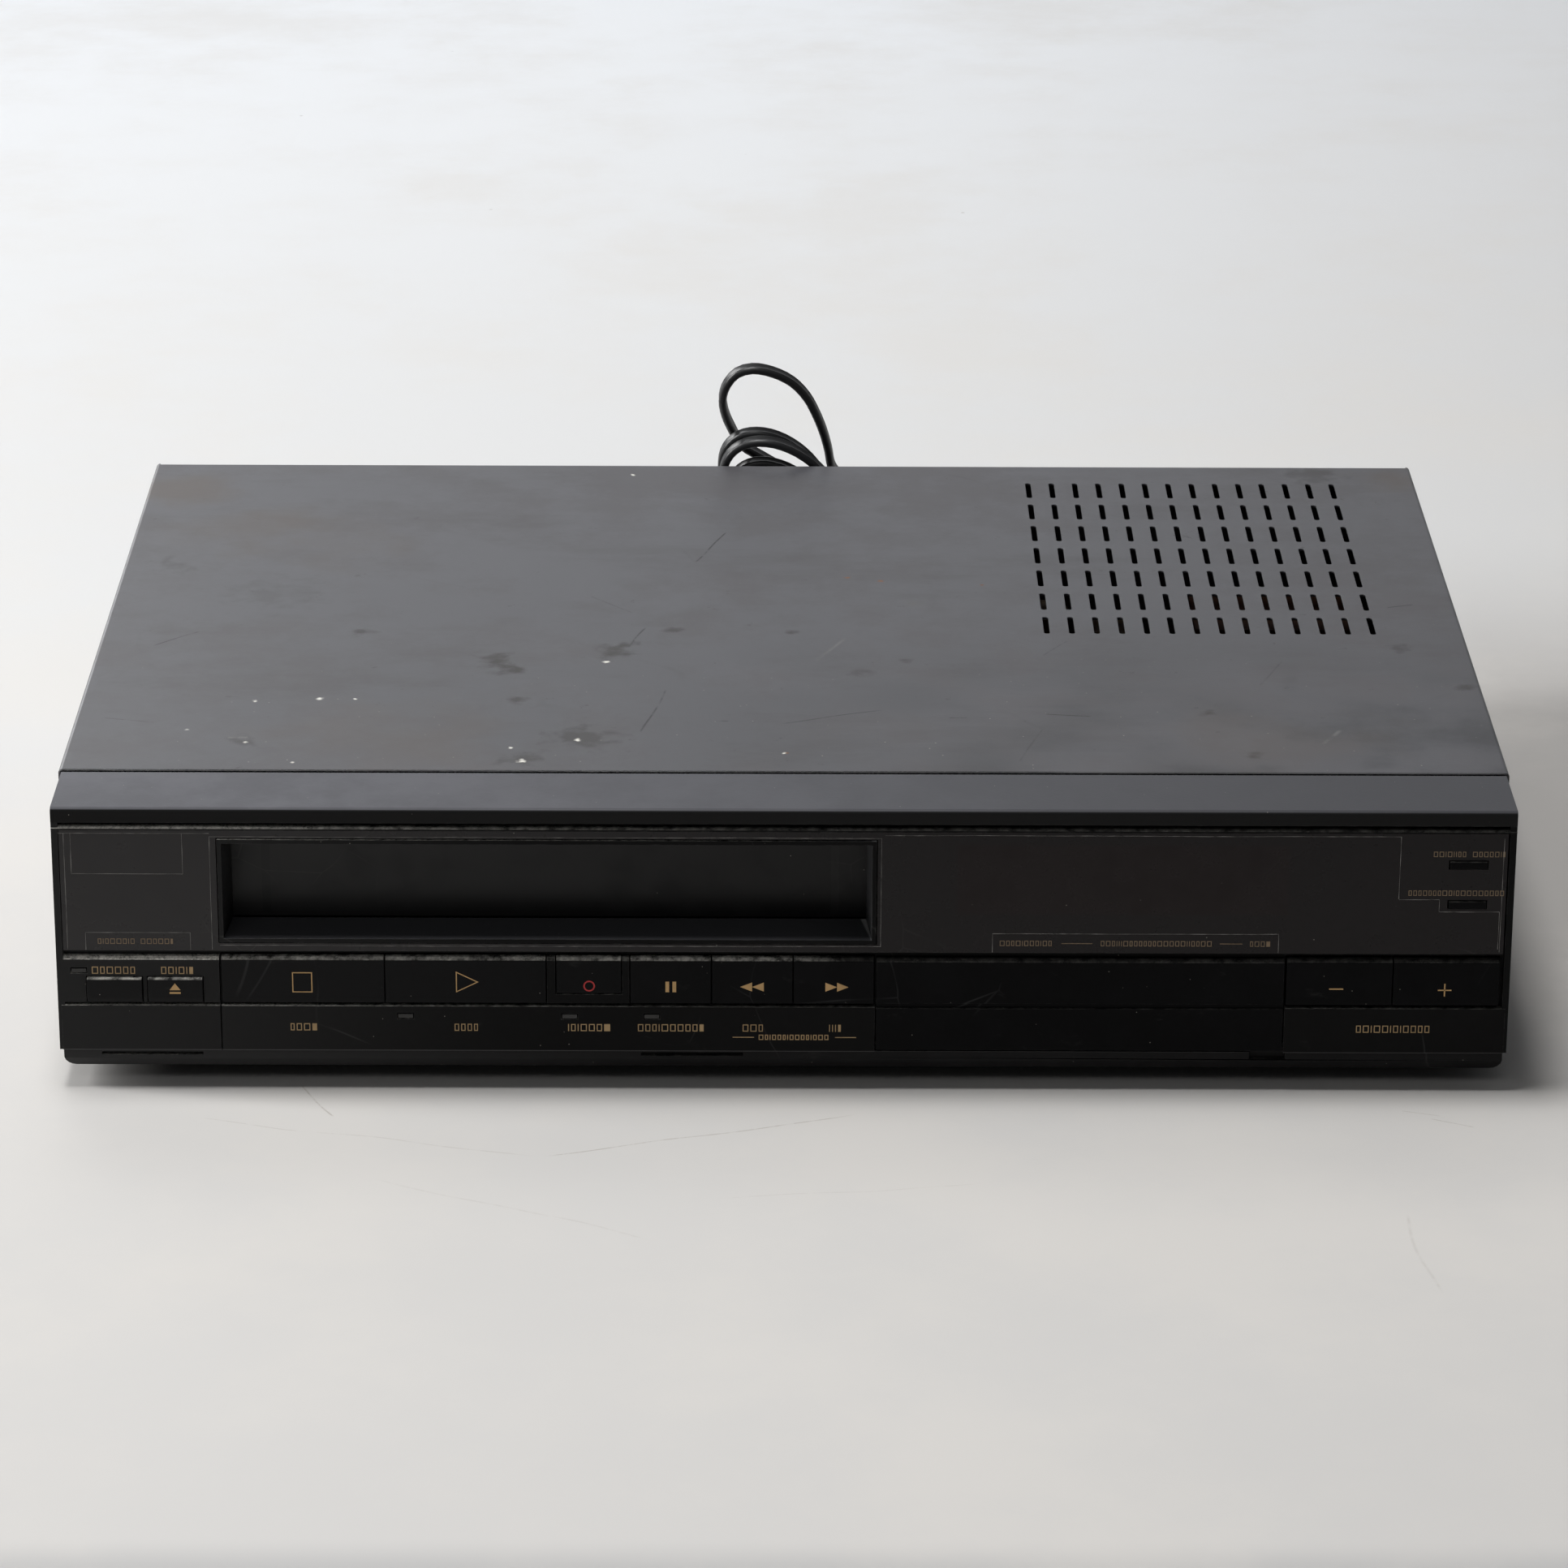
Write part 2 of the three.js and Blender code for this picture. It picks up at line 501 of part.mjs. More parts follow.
// Keys and buttons
function stem(x, z, from, travel, size = keyCap.stem) {
  const end = switchFace - travel - seatGap;
  return block([x - size / 2, x + size / 2], [from - overrun, end], [z - size / 2, z + size / 2]);
}

function addKeys() {
  for (const { start, bottom, keys } of keyRows) {
    let left = start + keyRow.gap;
    for (const [name, width] of keys) {
      const cap = chamferedBar([left, left + width], keyRow.face, bottom, keyRow.top, keyCap.back);
      add(name, join(cap, stem(left + width / 2, keyCap.stemHeight, keyCap.back, keyCap.travel)), looks.key);
      left += width + keyRow.gap;
    }
  }
}

function addButtons() {
  const front = keyRow.face - pushButton.proud;
  const profile = [
    [keyCap.back, keyRow.bottom], [keyRow.face - pushButton.facetProud, keyRow.bottom],
    [front, pushButton.facetTop], [front, pushButton.top - pushButton.chamfer],
    [front + pushButton.chamfer, pushButton.top], [keyCap.back, pushButton.top],
  ];
  const middle = (keyRow.bottom + pushButton.top) / 2;
  for (const [name, left, right] of buttonsAcross) {
    const cap = prism('x', profile.slice().reverse(), [left, right]);
    add(name, join(cap, stem((left + right) / 2, middle, keyCap.back, pushButton.travel)), looks.key);
  }
  for (const button of tinyButtons) {
    const cap = block(...tinySpan(button, 0, [fascia.face - tinyButton.proud, tinyButton.back]));
    const post = stem(button[1], button[2], tinyButton.back, tinyButton.travel, tinyButton.height);
    add(button[0], join(cap, post), looks.key);
  }
}

// Doors
function cassetteDoorSolid() {
  const { halfWidth, pinReach, pinRadius } = cassetteDoor;
  return join(
    block([deckX(-halfWidth), deckX(halfWidth)], [doorFront, doorFront + cassetteDoor.thickness],
      [cassetteDoor.bottom, cassetteDoor.top]),
    rod('x', pinRadius, [deckX(-halfWidth - pinReach), deckX(halfWidth + pinReach)],
      [doorPivotY, doorPivotZ]),
  );
}

function timerDoorSolid() {
  const back = keyRow.face + timerDoor.thickness;
  const face = keyRow.face;
  const profile = [
    [back, timerDoor.bottom], [face, timerDoor.bottom], [face, timerDoor.grooveBottom],
    [face + timerDoor.grooveDepth, timerDoor.grooveBottom],
    [face + timerDoor.grooveDepth, timerDoor.grooveTop],
    [face, timerDoor.grooveTop], [face, timerDoor.top - timerDoor.chamfer],
    [face + timerDoor.chamfer, timerDoor.top], [back, timerDoor.top],
  ];
  return join(
    prism('x', profile.reverse(), timerDoorX),
    rod('x', timerDoor.pinRadius, grown(timerDoorX, timerDoor.pinReach), [timerPivotY, timerPivotZ]),
  );
}

function trackingKnobSolid() {
  const place = [knobX, trackingKnob.height];
  const skirt = recess.back - seatGap;
  let knob = join(
    rod('y', trackingKnob.radius, [trackingKnob.front, skirt], place, sides.round),
    rod('y', trackingKnob.hub, [skirt - overrun, switchFace - seatGap], place),
  );
  for (let i = 0; i < trackingKnob.grips; i += 1) {
    const angle = (i / trackingKnob.grips) * 2 * Math.PI;
    const x = place[0] + trackingKnob.radius * Math.cos(angle);
    const z = place[1] + trackingKnob.radius * Math.sin(angle);
    const grip = [trackingKnob.front - overrun, skirt - trackingKnob.grip];
    knob = cut(knob, rod('y', trackingKnob.rib, grip, [x, z], sides.small / 2));
  }
  return knob;
}

function timerKeySolid() {
  const half = timerKey.width / 2;
  const rise = timerKey.depth / 2;
  const end = switchFace - timerKey.travel - seatGap;
  return block([timerKeyX - half, timerKeyX + half], [timerKey.front, end],
    [timerKey.height - rise, timerKey.height + rise]);
}

// Lamps, display and the board behind them
function operateLamp() {
  const [x, , z] = lampSpan(operateLampX, operateLampPlace[1], 0, lamp.reach);
  return block(x, [lamp.face, lamp.reach], z);
}

function functionLampSolid() {
  const { height, prong, bar, barHeight } = functionLamps;
  const reach = grown([functionLampX[0], functionLampX[functionLampX.length - 1]], lamp.width / 2);
  let strip = block(reach, [prong, prong + bar], [height - barHeight / 2, height + barHeight / 2]);
  for (const place of functionLampX) {
    const [x, , z] = lampSpan(place, height, 0, prong);
    strip = join(strip, block(x, [0, prong + overrun], z));
  }
  return strip;
}

function displayTubeSolid() {
  const front = wallBack + seatGap;
  const { lap, thickness, pipRadius, pipReach } = displayTube;
  const x = grown(displayX, lap);
  const z = grown([displayHole.bottom, displayHole.top], lap);
  return join(
    block(x, [front, front + thickness], z),
    rod('x', pipRadius, [x[1] - overrun, x[1] + pipReach], [front + thickness / 2, (z[0] + z[1]) / 2]),
  );
}

function controlBoardSolid() {
  const { bottom, lowTop, top, front, thickness, switchSide } = controlBoard;
  const [left, stepLeft] = [controlBoard.left, controlBoard.stepLeft].map(fromLeft);
  const right = fromRight(controlBoard.fromRight);
  const outline = [[left, bottom], [right, bottom], [right, top], [stepLeft, top], [stepLeft, lowTop],
    [left, lowTop]];
  let board = prism('y', outline, [front, front + thickness]);
  const places = [[knobX, trackingKnob.height], [timerKeyX, timerKey.height]];
  for (const { start, keys } of keyRows) {
    let x = start + keyRow.gap;
    for (const key of keys) {
      places.push([x + key[1] / 2, keyCap.stemHeight]);
      x += key[1] + keyRow.gap;
    }
  }
  buttonsAcross.forEach(([, a, b]) => places.push([(a + b) / 2, (keyRow.bottom + pushButton.top) / 2]));
  tinyButtons.forEach(([, x, z]) => places.push([x, z]));
  for (const [x, z] of places) {
    board = join(board, block([x - switchSide / 2, x + switchSide / 2], [switchFace, front + overrun],
      [z - switchSide / 2, z + switchSide / 2]));
  }
  return board;
}

// Cover, base, rear panel and feet
function topCover() {
  const outer = [-coverHalf, coverHalf];
  let shell = cut(
    block(outer, [cover.front, cover.rear], [cover.bottom, panel.top]),
    block([-coverInner, coverInner], [cover.front - overrun, cover.rear - cover.skin],
      [cover.bottom - overrun, panel.top - cover.skin]),
    block([-coverInner, coverInner], [cover.rear - cover.skin - overrun, cover.rear + overrun],
      [cover.bottom - overrun, panel.top - cover.rearLip]),
  );
  const slots = [];
  for (let row = 0; row < vents.rows; row += 1) {
    for (let column = 0; column < vents.columns; column += 1) {
      const x = fromRight(vents.fromRight) + column * vents.pitchX;
      const y = fromRear(vents.fromRear) + row * vents.pitchY;
      slots.push(block([x - vents.width / 2, x + vents.width / 2], [y - vents.length / 2,
        y + vents.length / 2],
        [panel.top - cover.skin - overrun, panel.top + overrun]));
    }
  }
  shell = shell.subtract(wasm.Manifold.compose(slots));
  return cut(shell, ...screwHoles());
}

function screwHoles() {
  return screwPlaces.map((y) => rod('x', screw.radius + seatGap, grown([-coverHalf, coverHalf], overrun),
    [y, screw.height]));
}

function addScrews() {
  const names = [['left', -1], ['right', 1]];
  for (const [word, side] of names) {
    screwPlaces.forEach((y, i) => {
      const under = coverHalf + seatGap;
      const place = [y, screw.height];
      const head = rod('x', screw.headRadius, span(side * under, side * (under + screw.head)), place,
        sides.round);
      const shank = rod('x', screw.radius, span(side * (under - screw.length), side * (under + overrun)),
        place);
      add(`cover_screw_${word}_${i === 0 ? 'front' : 'rear'}`, join(head, shank), looks.black);
    });
  }
}

function baseFrame() {
  const half = baseHalf;
  const r = base.cornerRadius;
  const outline = [
    [-half, base.chinTop],
    ...quarterArc([-half + r, base.bottom + r], r, Math.PI).map(([x, z]) => [x, 2 * (base.bottom + r) - z]),
    ...quarterArc([half - r, base.bottom + r], r, Math.PI / 2).map(([x, z]) => [x,
      2 * (base.bottom + r) - z]),
    [half, base.chinTop],
  ];
  const inner = half - base.wall;
  let tray = cut(
    prism('y', outline, [base.chinFront, baseRear]),
    block([-inner, inner], [base.chinFront + base.chinWall, baseRear + overrun],
      [floorTop, base.chinTop + overrun]),
    prism('x', [[base.chinFront - overrun, base.bottom - overrun],
      [base.chinFront + base.bevelDepth, base.bottom - overrun],
      [base.chinFront + base.bevelDepth, base.bottom],
      [base.chinFront, base.bottom + base.bevelHeight],
      [base.chinFront - overrun, base.bottom + base.bevelHeight]], grown([-half, half], overrun)),
    ...chinSlotPlaces.map(([x0, x1, z0, z1]) => block([x0, x1],
      [base.chinFront - overrun, base.chinFront + chinSlotDepth], [z0, z1])),
  );
  for (const side of bothSides) {
    tray = join(tray, block(span(side * (inner - base.rail), side * inner), [base.railFront, baseRear],
      [floorTop - overrun, base.railHeight]));
  }
  for (const place of deckPosts) {
    tray = join(tray, rod('z', base.postRadius, [floorTop - overrun, deck.bottom - seatGap], place));
  }
  for (const place of boardPosts) {
    tray = join(tray, rod('z', mainBoard.postRadius, [floorTop - overrun, mainBoard.bottom - seatGap],
      place));
  }
  return cut(tray, ...screwHoles());
}

function addFeet() {
  const top = base.bottom - seatGap;
  for (const [row, y] of [['front', foot.front], ['rear', fromRear(foot.fromRear)]]) {
    for (const [word, side] of [['left', -1], ['right', 1]]) {
      const place = [side * (halfPanel - foot.inset), y];
      const pad = join(
        rod('z', foot.tipRadius, [0, foot.rim], place, sides.round, foot.radius),
        rod('z', foot.radius, [foot.rim, top], place, sides.round),
      );
      add(`foot_${row}_${word}`, pad, looks.rubber);
    }
  }
}

function rearPanelSolid() {
  const half = coverInner - rearPanel.inset;
  const depth = [rearFace - rearPanel.thickness, rearFace];
  const through = grown(depth, overrun);
  return cut(
    block([-half, half], depth, [base.chinTop + seatGap, panel.top - cover.skin - seatGap]),
    ...aerial.heights.map((z) => rod('y', aerial.radius + runGap, through, [aerialX, z], sides.round)),
    block(grown(scartX, runGap), through, grown([scart.bottom, scart.top], runGap)),
    rod('y', relief.neckRadius + seatGap, through, [relief.x, relief.height], sides.round),
  );
}

function strainRelief() {
  const place = [relief.x, relief.height];
  const inside = rearFace - rearPanel.thickness - seatGap;
  const outside = rearFace + seatGap;
  const root = outside + relief.collar;
  return join(
    rod('y', relief.flangeRadius, [inside - relief.flange, inside], place, sides.round),
    rod('y', relief.neckRadius, [inside - overrun, outside + overrun], place, sides.round),
    rod('y', relief.collarRadius, [outside, root], place, sides.round),
    rod('y', relief.rootRadius, [root - overrun, root + relief.length], place, sides.round, relief.tipRadius),
  );
}

// Circuit boards and power supply
function mainBoardSolid() {
  const top = mainBoard.bottom + mainBoard.thickness;
  let board = cut(
    block([fromLeft(mainBoard.inset), fromRight(mainBoard.inset)], [boardRear - mainBoard.length, boardRear],
      [mainBoard.bottom, top]),
    ...deckPosts.map((place) => rod('z', base.postRadius + runGap, grown([mainBoard.bottom, top], overrun),
      place)),
  );
  for (const [x, y, radius, height] of capacitors) {
    board = join(board, rod('z', radius, [top - overrun / 2, top + height], [fromRight(x), fromRear(y)],
      sides.round));
  }
  for (const [x, y, width, depth, height] of chips) {
    board = join(board, block(grown([fromRight(x), fromRight(x)], width / 2),
      grown([fromRear(y), fromRear(y)], depth / 2), [top - overrun / 2, top + height]));
  }
  const end = rearFace + scart.reach;
  const front = fromRear(scart.fromRear);
  board = join(board, block(scartX, [front, end], [scart.bottom, scart.top]));
  board = join(board, block(scartX, [front, boardRear - overrun], [top - overrun / 2,
    scart.bottom + overrun]));
  return cut(board, block(grown(scartX, -scart.mouth), [end - scart.mouthDepth, end + overrun],
    grown([scart.bottom, scart.top], -scart.mouth)));
}

function transformerSolid() {
  const [coreX, coreY, coreZ] = transformer.core;
  const [windX, windY, windZ] = transformer.winding;
  const x = fromRight(transformer.fromRight);
  const y = fromRear(transformer.fromRear);
  const middle = boardSeat + coreZ / 2;
  return join(
    block([x - coreX / 2, x + coreX / 2], [y - coreY / 2, y + coreY / 2], [boardSeat, boardSeat + coreZ]),
    block([x - windX / 2, x + windX / 2], [y - windY / 2, y + windY / 2], [middle - windZ / 2,
      middle + windZ / 2]),
  );
}

function tunerSolid() {
  const back = rearFace - rearPanel.thickness - seatGap;
  let box = block([tuner.left, tuner.right].map(fromLeft), [fromRear(tuner.fromRear), back],
    [boardSeat, boardSeat + tuner.height]);
  for (const z of aerial.heights) {
    const place = [aerialX, z];
    box = cut(
      join(box, rod('y', aerial.radius, [back - overrun, rearFace + aerial.reach], place, sides.round)),
      rod('y', aerial.bore, [rearFace + aerial.reach - aerial.depth, rearFace + aerial.reach + overrun],
        place),
    );
  }
  return box;
}

// Tape transport
const guidePath = [guide.endX - guide.startX, guide.endY - guide.startY];
const guideLength = Math.hypot(...guidePath);

function guideSlot(side) {
  const along = guidePath.map((part) => part / guideLength);
  const half = guide.pin + runGap;
  const corner = (end, across) => {
    const from = end > 0 ? [guide.endX, guide.endY] : [guide.startX, guide.startY];
    const x = from[0] + along[0] * half * end - along[1] * half * across;
    const y = from[1] + along[1] * half * end + along[0] * half * across;
    return [deckX(side * x), y];
  };
  const outline = [corner(-1, -1), corner(1, -1), corner(1, 1), corner(-1, 1)];
  return prism('z', side > 0 ? outline : outline.reverse(), grown([deck.bottom, deckTop], overrun));
}

function deckPlate() {
  let plate = block([deckX(-deck.halfWidth), deckX(deck.halfWidth)], [deck.front, deck.rear],
    [deck.bottom, deckTop]);
  const inPlate = deckTop - deck.thickness / 2;
  for (const side of bothSides) {
    plate = join(plate, rod('z', reel.stud, [inPlate, reel.studTop], [deckX(side * reel.spacing / 2),
      reel.y]));
    plate = cut(plate, guideSlot(side));
  }
  const capstanPlace = [deckX(capstan.x), capstan.y];
  plate = join(
    plate,
    rod('z', capstan.sleeve, [inPlate, capstan.sleeveTop], capstanPlace, sides.round),
    rod('z', pinch.stud, [inPlate, pinch.plateBottom + pinch.plate + seatGap], [deckX(pinch.x), pinch.y]),
    rod('z', tension.stud, [inPlate, deckSeat + tension.plate + seatGap], [deckX(tension.x), tension.y]),
    rod('z', cam.stud, [cam.studBottom, inPlate], [deckX(0), cam.y]),
  );
  return cut(plate, rod('z', capstan.radius + runGap, [deck.bottom - overrun, capstan.sleeveTop + overrun],
    capstanPlace));
}

function reelSolid(side) {
  const place = [deckX(side * reel.spacing / 2), reel.y];
  const discTop = deckSeat + reel.disc;
  let table = join(
    rod('z', reel.radius, [deckSeat, discTop], place, sides.round),
    rod('z', reel.hubRadius, [discTop - overrun, discTop + reel.hub], place, sides.round),
    rod('z', reel.spindle, [discTop, reel.top], place, sides.small, reel.spindle - reel.fin / 2),
  );
  for (let i = 0; i < reel.fins; i += 1) {
    const fin = new THREE.BoxGeometry(reel.spindle + reel.finReach, reel.fin, reel.top - discTop - reel.fin);
    fin.translate((reel.spindle + reel.finReach) / 2, 0, (discTop + reel.top - reel.fin) / 2);
    fin.rotateZ((i / reel.fins) * 2 * Math.PI);
    fin.translate(...place, 0);
    table = join(table, asSolid(fin));
  }
  return cut(table, rod('z', reel.stud + runGap, [deckSeat - overrun, reel.studTop + seatGap], place));
}

function tiltedDrum(from, to, radius = drum.radius, faces = sides.large) {
  const geometry = new THREE.CylinderGeometry(radius, radius, to - from, faces);
  geometry.rotateX(Math.PI / 2);
  geometry.translate(0, 0, (from + to) / 2 - drum.bottom);
  geometry.rotateY(THREE.MathUtils.degToRad(drum.tilt));
  geometry.translate(deckX(0), drum.y, drum.bottom);
  return asSolid(geometry);
}

function lowerDrum() {
  return join(
    rod('z', drum.pedestal, [deckSeat, drum.bottom + drum.lower / 2], [deckX(0), drum.y], sides.round),
    tiltedDrum(drum.bottom, drum.bottom + drum.lower),
  );
}

function upperDrum() {
  const from = drum.bottom + drum.lower + seatGap;
  return join(tiltedDrum(from, from + drum.upper),
    tiltedDrum(from + drum.upper - overrun, from + drum.upper + drum.capHeight, drum.cap, sides.round));
}

function capstanSolid() {
  const place = [deckX(capstan.x), capstan.y];
  const flywheelTop = capstan.flywheelBottom + capstan.flywheelHeight;
  return join(
    rod('z', capstan.radius, [capstan.flywheelBottom, capstan.top], place),
    rod('z', capstan.flywheel, [capstan.flywheelBottom, flywheelTop], place, sides.large),
  );
}

const pinchTip = (() => {
  const angle = THREE.MathUtils.degToRad(pinch.restAngle);
  return [deckX(pinch.x) + pinch.reach * Math.cos(angle), pinch.y + pinch.reach * Math.sin(angle)];
})();

function link(from, to, width, z) {
  const length = Math.hypot(to[0] - from[0], to[1] - from[1]);
  const bar = new THREE.BoxGeometry(length, width, z[1] - z[0]);
  bar.rotateZ(Math.atan2(to[1] - from[1], to[0] - from[0]));
  bar.translate((from[0] + to[0]) / 2, (from[1] + to[1]) / 2, (z[0] + z[1]) / 2);
  return asSolid(bar);
}

function pinchArm() {
  const pivot = [deckX(pinch.x), pinch.y];
  const plate = [pinch.plateBottom, pinch.plateBottom + pinch.plate];
  const rollerTop = plate[1] + seatGap + pinch.rollerHeight;
  return cut(
    join(
      link(pivot, pinchTip, 2 * pinch.pin * 2, plate),
      rod('z', pinch.hub, [deckSeat, plate[1]], pivot, sides.round),
      rod('z', pinch.end, plate, pinchTip, sides.round),
      rod('z', pinch.pin, [plate[0], rollerTop + seatGap], pinchTip),
    ),
    rod('z', pinch.stud + runGap, [deckSeat - overrun, plate[1] + overrun], pivot),
  );
}

function pinchRoller() {
  const bottom = pinch.plateBottom + pinch.plate + seatGap;
  const z = [bottom, bottom + pinch.rollerHeight];
  return cut(rod('z', pinch.roller, z, pinchTip, sides.round),
    rod('z', pinch.pin + seatGap, grown(z, overrun), pinchTip));
}

function guideSolid(side) {
  const place = [deckX(side * guide.startX), guide.startY];
  const baseTop = deckSeat + guide.baseHeight;
  return join(
    rod('z', guide.base, [deckSeat, baseTop], place, sides.round),
    rod('z', guide.post, [baseTop - overrun, guide.top], place),
    rod('z', guide.flange, [guide.top - overrun, guide.top], place),
    rod('z', guide.pin, [deck.bottom - guide.pinDrop, deckSeat + overrun], place),
  );
}

function tensionArm() {
  const pivot = [deckX(tension.x), tension.y];
  const angle = THREE.MathUtils.degToRad(tension.angle);
  const tip = [pivot[0] + tension.reach * Math.cos(angle), pivot[1] + tension.reach * Math.sin(angle)];
  const plate = [deckSeat, deckSeat + tension.plate];
  return cut(
    join(
      link(pivot, tip, tension.width / 2, plate),
      rod('z', tension.width / 2, plate, pivot),
      rod('z', tension.width / 2, plate, tip),
      rod('z', tension.pin, [plate[0], tension.pinTop], tip),
    ),
    rod('z', tension.stud + seatGap, grown(plate, overrun), pivot, sides.small),
  );
}

function headSolid({ x, y, size, top, foot: plinth }) {
  const half = size.map((length) => length / 2);
  const middle = [deckX(x), y];
  return join(
    block(grown([middle[0], middle[0]], half[0]), grown([middle[1], middle[1]], half[1]),
      [deckSeat + plinth, top]),
    rod('z', Math.min(...half) - plinth / 2, [deckSeat, deckSeat + plinth + overrun], middle),
  );
}

function camSolid() {
  const place = [deckX(0), cam.y];
  const z = [cam.bottom, cam.bottom + cam.height];
  const outline = [];
  for (let i = 0; i < cam.teeth * 4; i += 1) {
    const angle = (i / (cam.teeth * 4)) * 2 * Math.PI;
    const radius = cam.radius + (i % 4 < 2 ? cam.tooth : 0);
    outline.push([place[0] + radius * Math.cos(angle), place[1] + radius * Math.sin(angle)]);
  }
  const ring = cut(
    rod('z', cam.radius - cam.track, [z[1] - cam.track, z[1] + overrun], place, sides.round),
    rod('z', cam.radius - 2 * cam.track, [z[0], z[1] + 2 * overrun], place, sides.round),
  );
  return cut(prism('z', outline, z), ring, rod('z', cam.stud + runGap, grown(z, overrun), place));
}

// Cassette holder and its frames
function holderFrame(side) {
  const x = span(side * frame.inner, side * (frame.inner + frame.wall)).map(deckX);
  const foot0 = span(side * frame.inner, side * (frame.inner + frame.wall + frame.flange)).map(deckX);
  const slotEnds = [slider.front + slider.pinInset, slider.rear - slider.pinInset + carriage.travelIn];
  return cut(
    join(
      block(x, [frame.front, frame.rear], [deckSeat, frame.top]),
      block(foot0, [frame.front, frame.rear], [deckSeat, deckSeat + frame.wall]),
    ),
    block(grown(x, overrun), grown(slotEnds, holder.pinRadius + runGap),
      grown([slider.pinZ, slider.pinZ], holder.pinRadius + runGap)),
  );
}

function sliderSolid() {
  const outer = slider.inner + slider.wall;
  let bridge = block([deckX(-outer), deckX(outer)], [slider.front, slider.rear], [slider.top - slider.beam,
    slider.top]);
  for (const side of bothSides) {
    const cheek = span(side * slider.inner, side * outer).map(deckX);
    bridge = join(bridge, block(cheek, [slider.front, slider.rear], [slider.bottom, slider.top]));
    for (const y of [slider.front + slider.pinInset, slider.rear - slider.pinInset]) {
      bridge = join(bridge, rod('x', holder.pinRadius,
        span(side * slider.inner, side * (outer + slider.pinReach)).map(deckX), [y, slider.pinZ]));
    }
    bridge = cut(bridge, block(grown(cheek, overrun / 2), grown([holder.pinY, holder.pinY],
      holder.pinRadius + runGap),
      grown([holder.pinZ - carriage.travelDown, holder.pinZ], holder.pinRadius + runGap)));
  }
  return bridge;
}

function holderSolid() {
  const outer = holder.inner + holder.wall;
  const roof = [holder.ceiling, holder.ceiling + holder.wall];
  let tray = block([deckX(-outer), deckX(outer)], [holder.plateFront, holder.rear], roof);
  for (const side of bothSides) {
    const wall = span(side * holder.inner, side * outer).map(deckX);
    const ledge = span(side * (holder.inner - holder.ledgeReach), side * outer).map(deckX);
    const pin = span(side * (outer - holder.wall / 2),
      side * (slider.inner + slider.wall - runGap / 2)).map(deckX);
    tray = join(
      tray,
      block(wall, [holder.front, holder.rear], [holder.floor, roof[1]]),
      block(ledge, [holder.front, holder.rear], [holder.floor, holder.floor + holder.ledge]),
      rod('x', holder.pinRadius, pin, [holder.pinY, holder.pinZ]),
    );
  }
  return tray;
}

function motorSolid() {
  const wall = deckX(frame.inner + frame.wall + seatGap);
  const place = [wall + motor.radius + overrun, motor.height];
  return join(
    rod('y', motor.radius, [motor.front, motor.rear], place, sides.round),
    block([wall, place[0]], [motor.front + overrun, motor.rear - overrun],
      [motor.height - motor.radius / 2, motor.height + motor.radius / 2]),
    rod('y', motor.shaft, [motor.rear - overrun, motor.rear + motor.shaftReach], place),
    rod('y', motor.worm, [motor.rear + overrun, motor.rear + overrun + motor.wormLength], place),
  );
}

// Mains lead: the stored hank as one flat tube, then the free stretches and the plug
const lean = THREE.MathUtils.degToRad(hank.lean);
const footRadius = hank.innerRadius + hank.pitch * (hank.turns - 1) / 2;
const hankFoot = footRadius + lead.thickness / 2 + seatGap;
const hankBase = cover.rear + hank.coverGap + lead.width / 2 / Math.cos(lean) + panel.top * Math.tan(lean);

function hankPoint(u, v, w) {
  return new THREE.Vector3(
    hank.centre + u,
    hankBase - v * Math.sin(lean) + w * Math.cos(lean),
    v * Math.cos(lean) + w * Math.sin(lean) + lead.width / 2 * Math.sin(lean),
  );
}

// Each loop runs down the right, round the foot, up the left and round the head. The loops wind in at a
// steady rate to half the turns, cross to the layer in front along one run and wind out again there. The
// heads slope down to the right, and each one is moved and narrowed by its own amounts.
function hankRings() {
  const perTurn = 2 * (hank.arcSteps + hank.runSteps);
  const count = hank.turns * perTurn + hank.runSteps;
  const layer = lead.width + hank.layerGap;
  const crossFrom = Math.floor(hank.turns / 2) * perTurn + hank.runSteps + hank.arcSteps;
  const rings = [];
  for (let i = hank.firstStep; i <= count; i += 1) {
    const radius = hank.innerRadius + hank.pitch * Math.abs(i / perTurn - hank.turns / 2);
    const crossed = THREE.MathUtils.clamp((i - crossFrom) / hank.runSteps, 0, 1);
    const downRight = THREE.MathUtils.clamp((i % perTurn) / hank.runSteps, 0, 1);
    const foot = THREE.MathUtils.clamp((i % perTurn - hank.runSteps) / hank.arcSteps, 0, 1);
    const upLeft = THREE.MathUtils.clamp((i % perTurn - hank.runSteps - hank.arcSteps) / hank.runSteps, 0, 1);
    const head = THREE.MathUtils.clamp((i % perTurn - 2 * hank.runSteps - hank.arcSteps) / hank.arcSteps,
      0, 1);
    const angle = -Math.PI * (foot + head);
    const up = 1 - downRight + upLeft;
    const upEased = THREE.MathUtils.smoothstep(up, 0, 1);
    const [aside, rise, wider] = hank.heads[Math.floor(i / perTurn) + (i % perTurn > hank.runSteps ? 1 : 0)];
    const reach = radius + wider * upEased;
    rings.push({
      u: reach * Math.cos(angle) + aside * upEased,
      v: hankFoot + up * (hank.run + rise - hank.headSlope * reach * Math.cos(angle))
        + reach * Math.sin(angle),
      w: layer * (1 - crossed),
      angle,
    });
  }
  return rings;
}

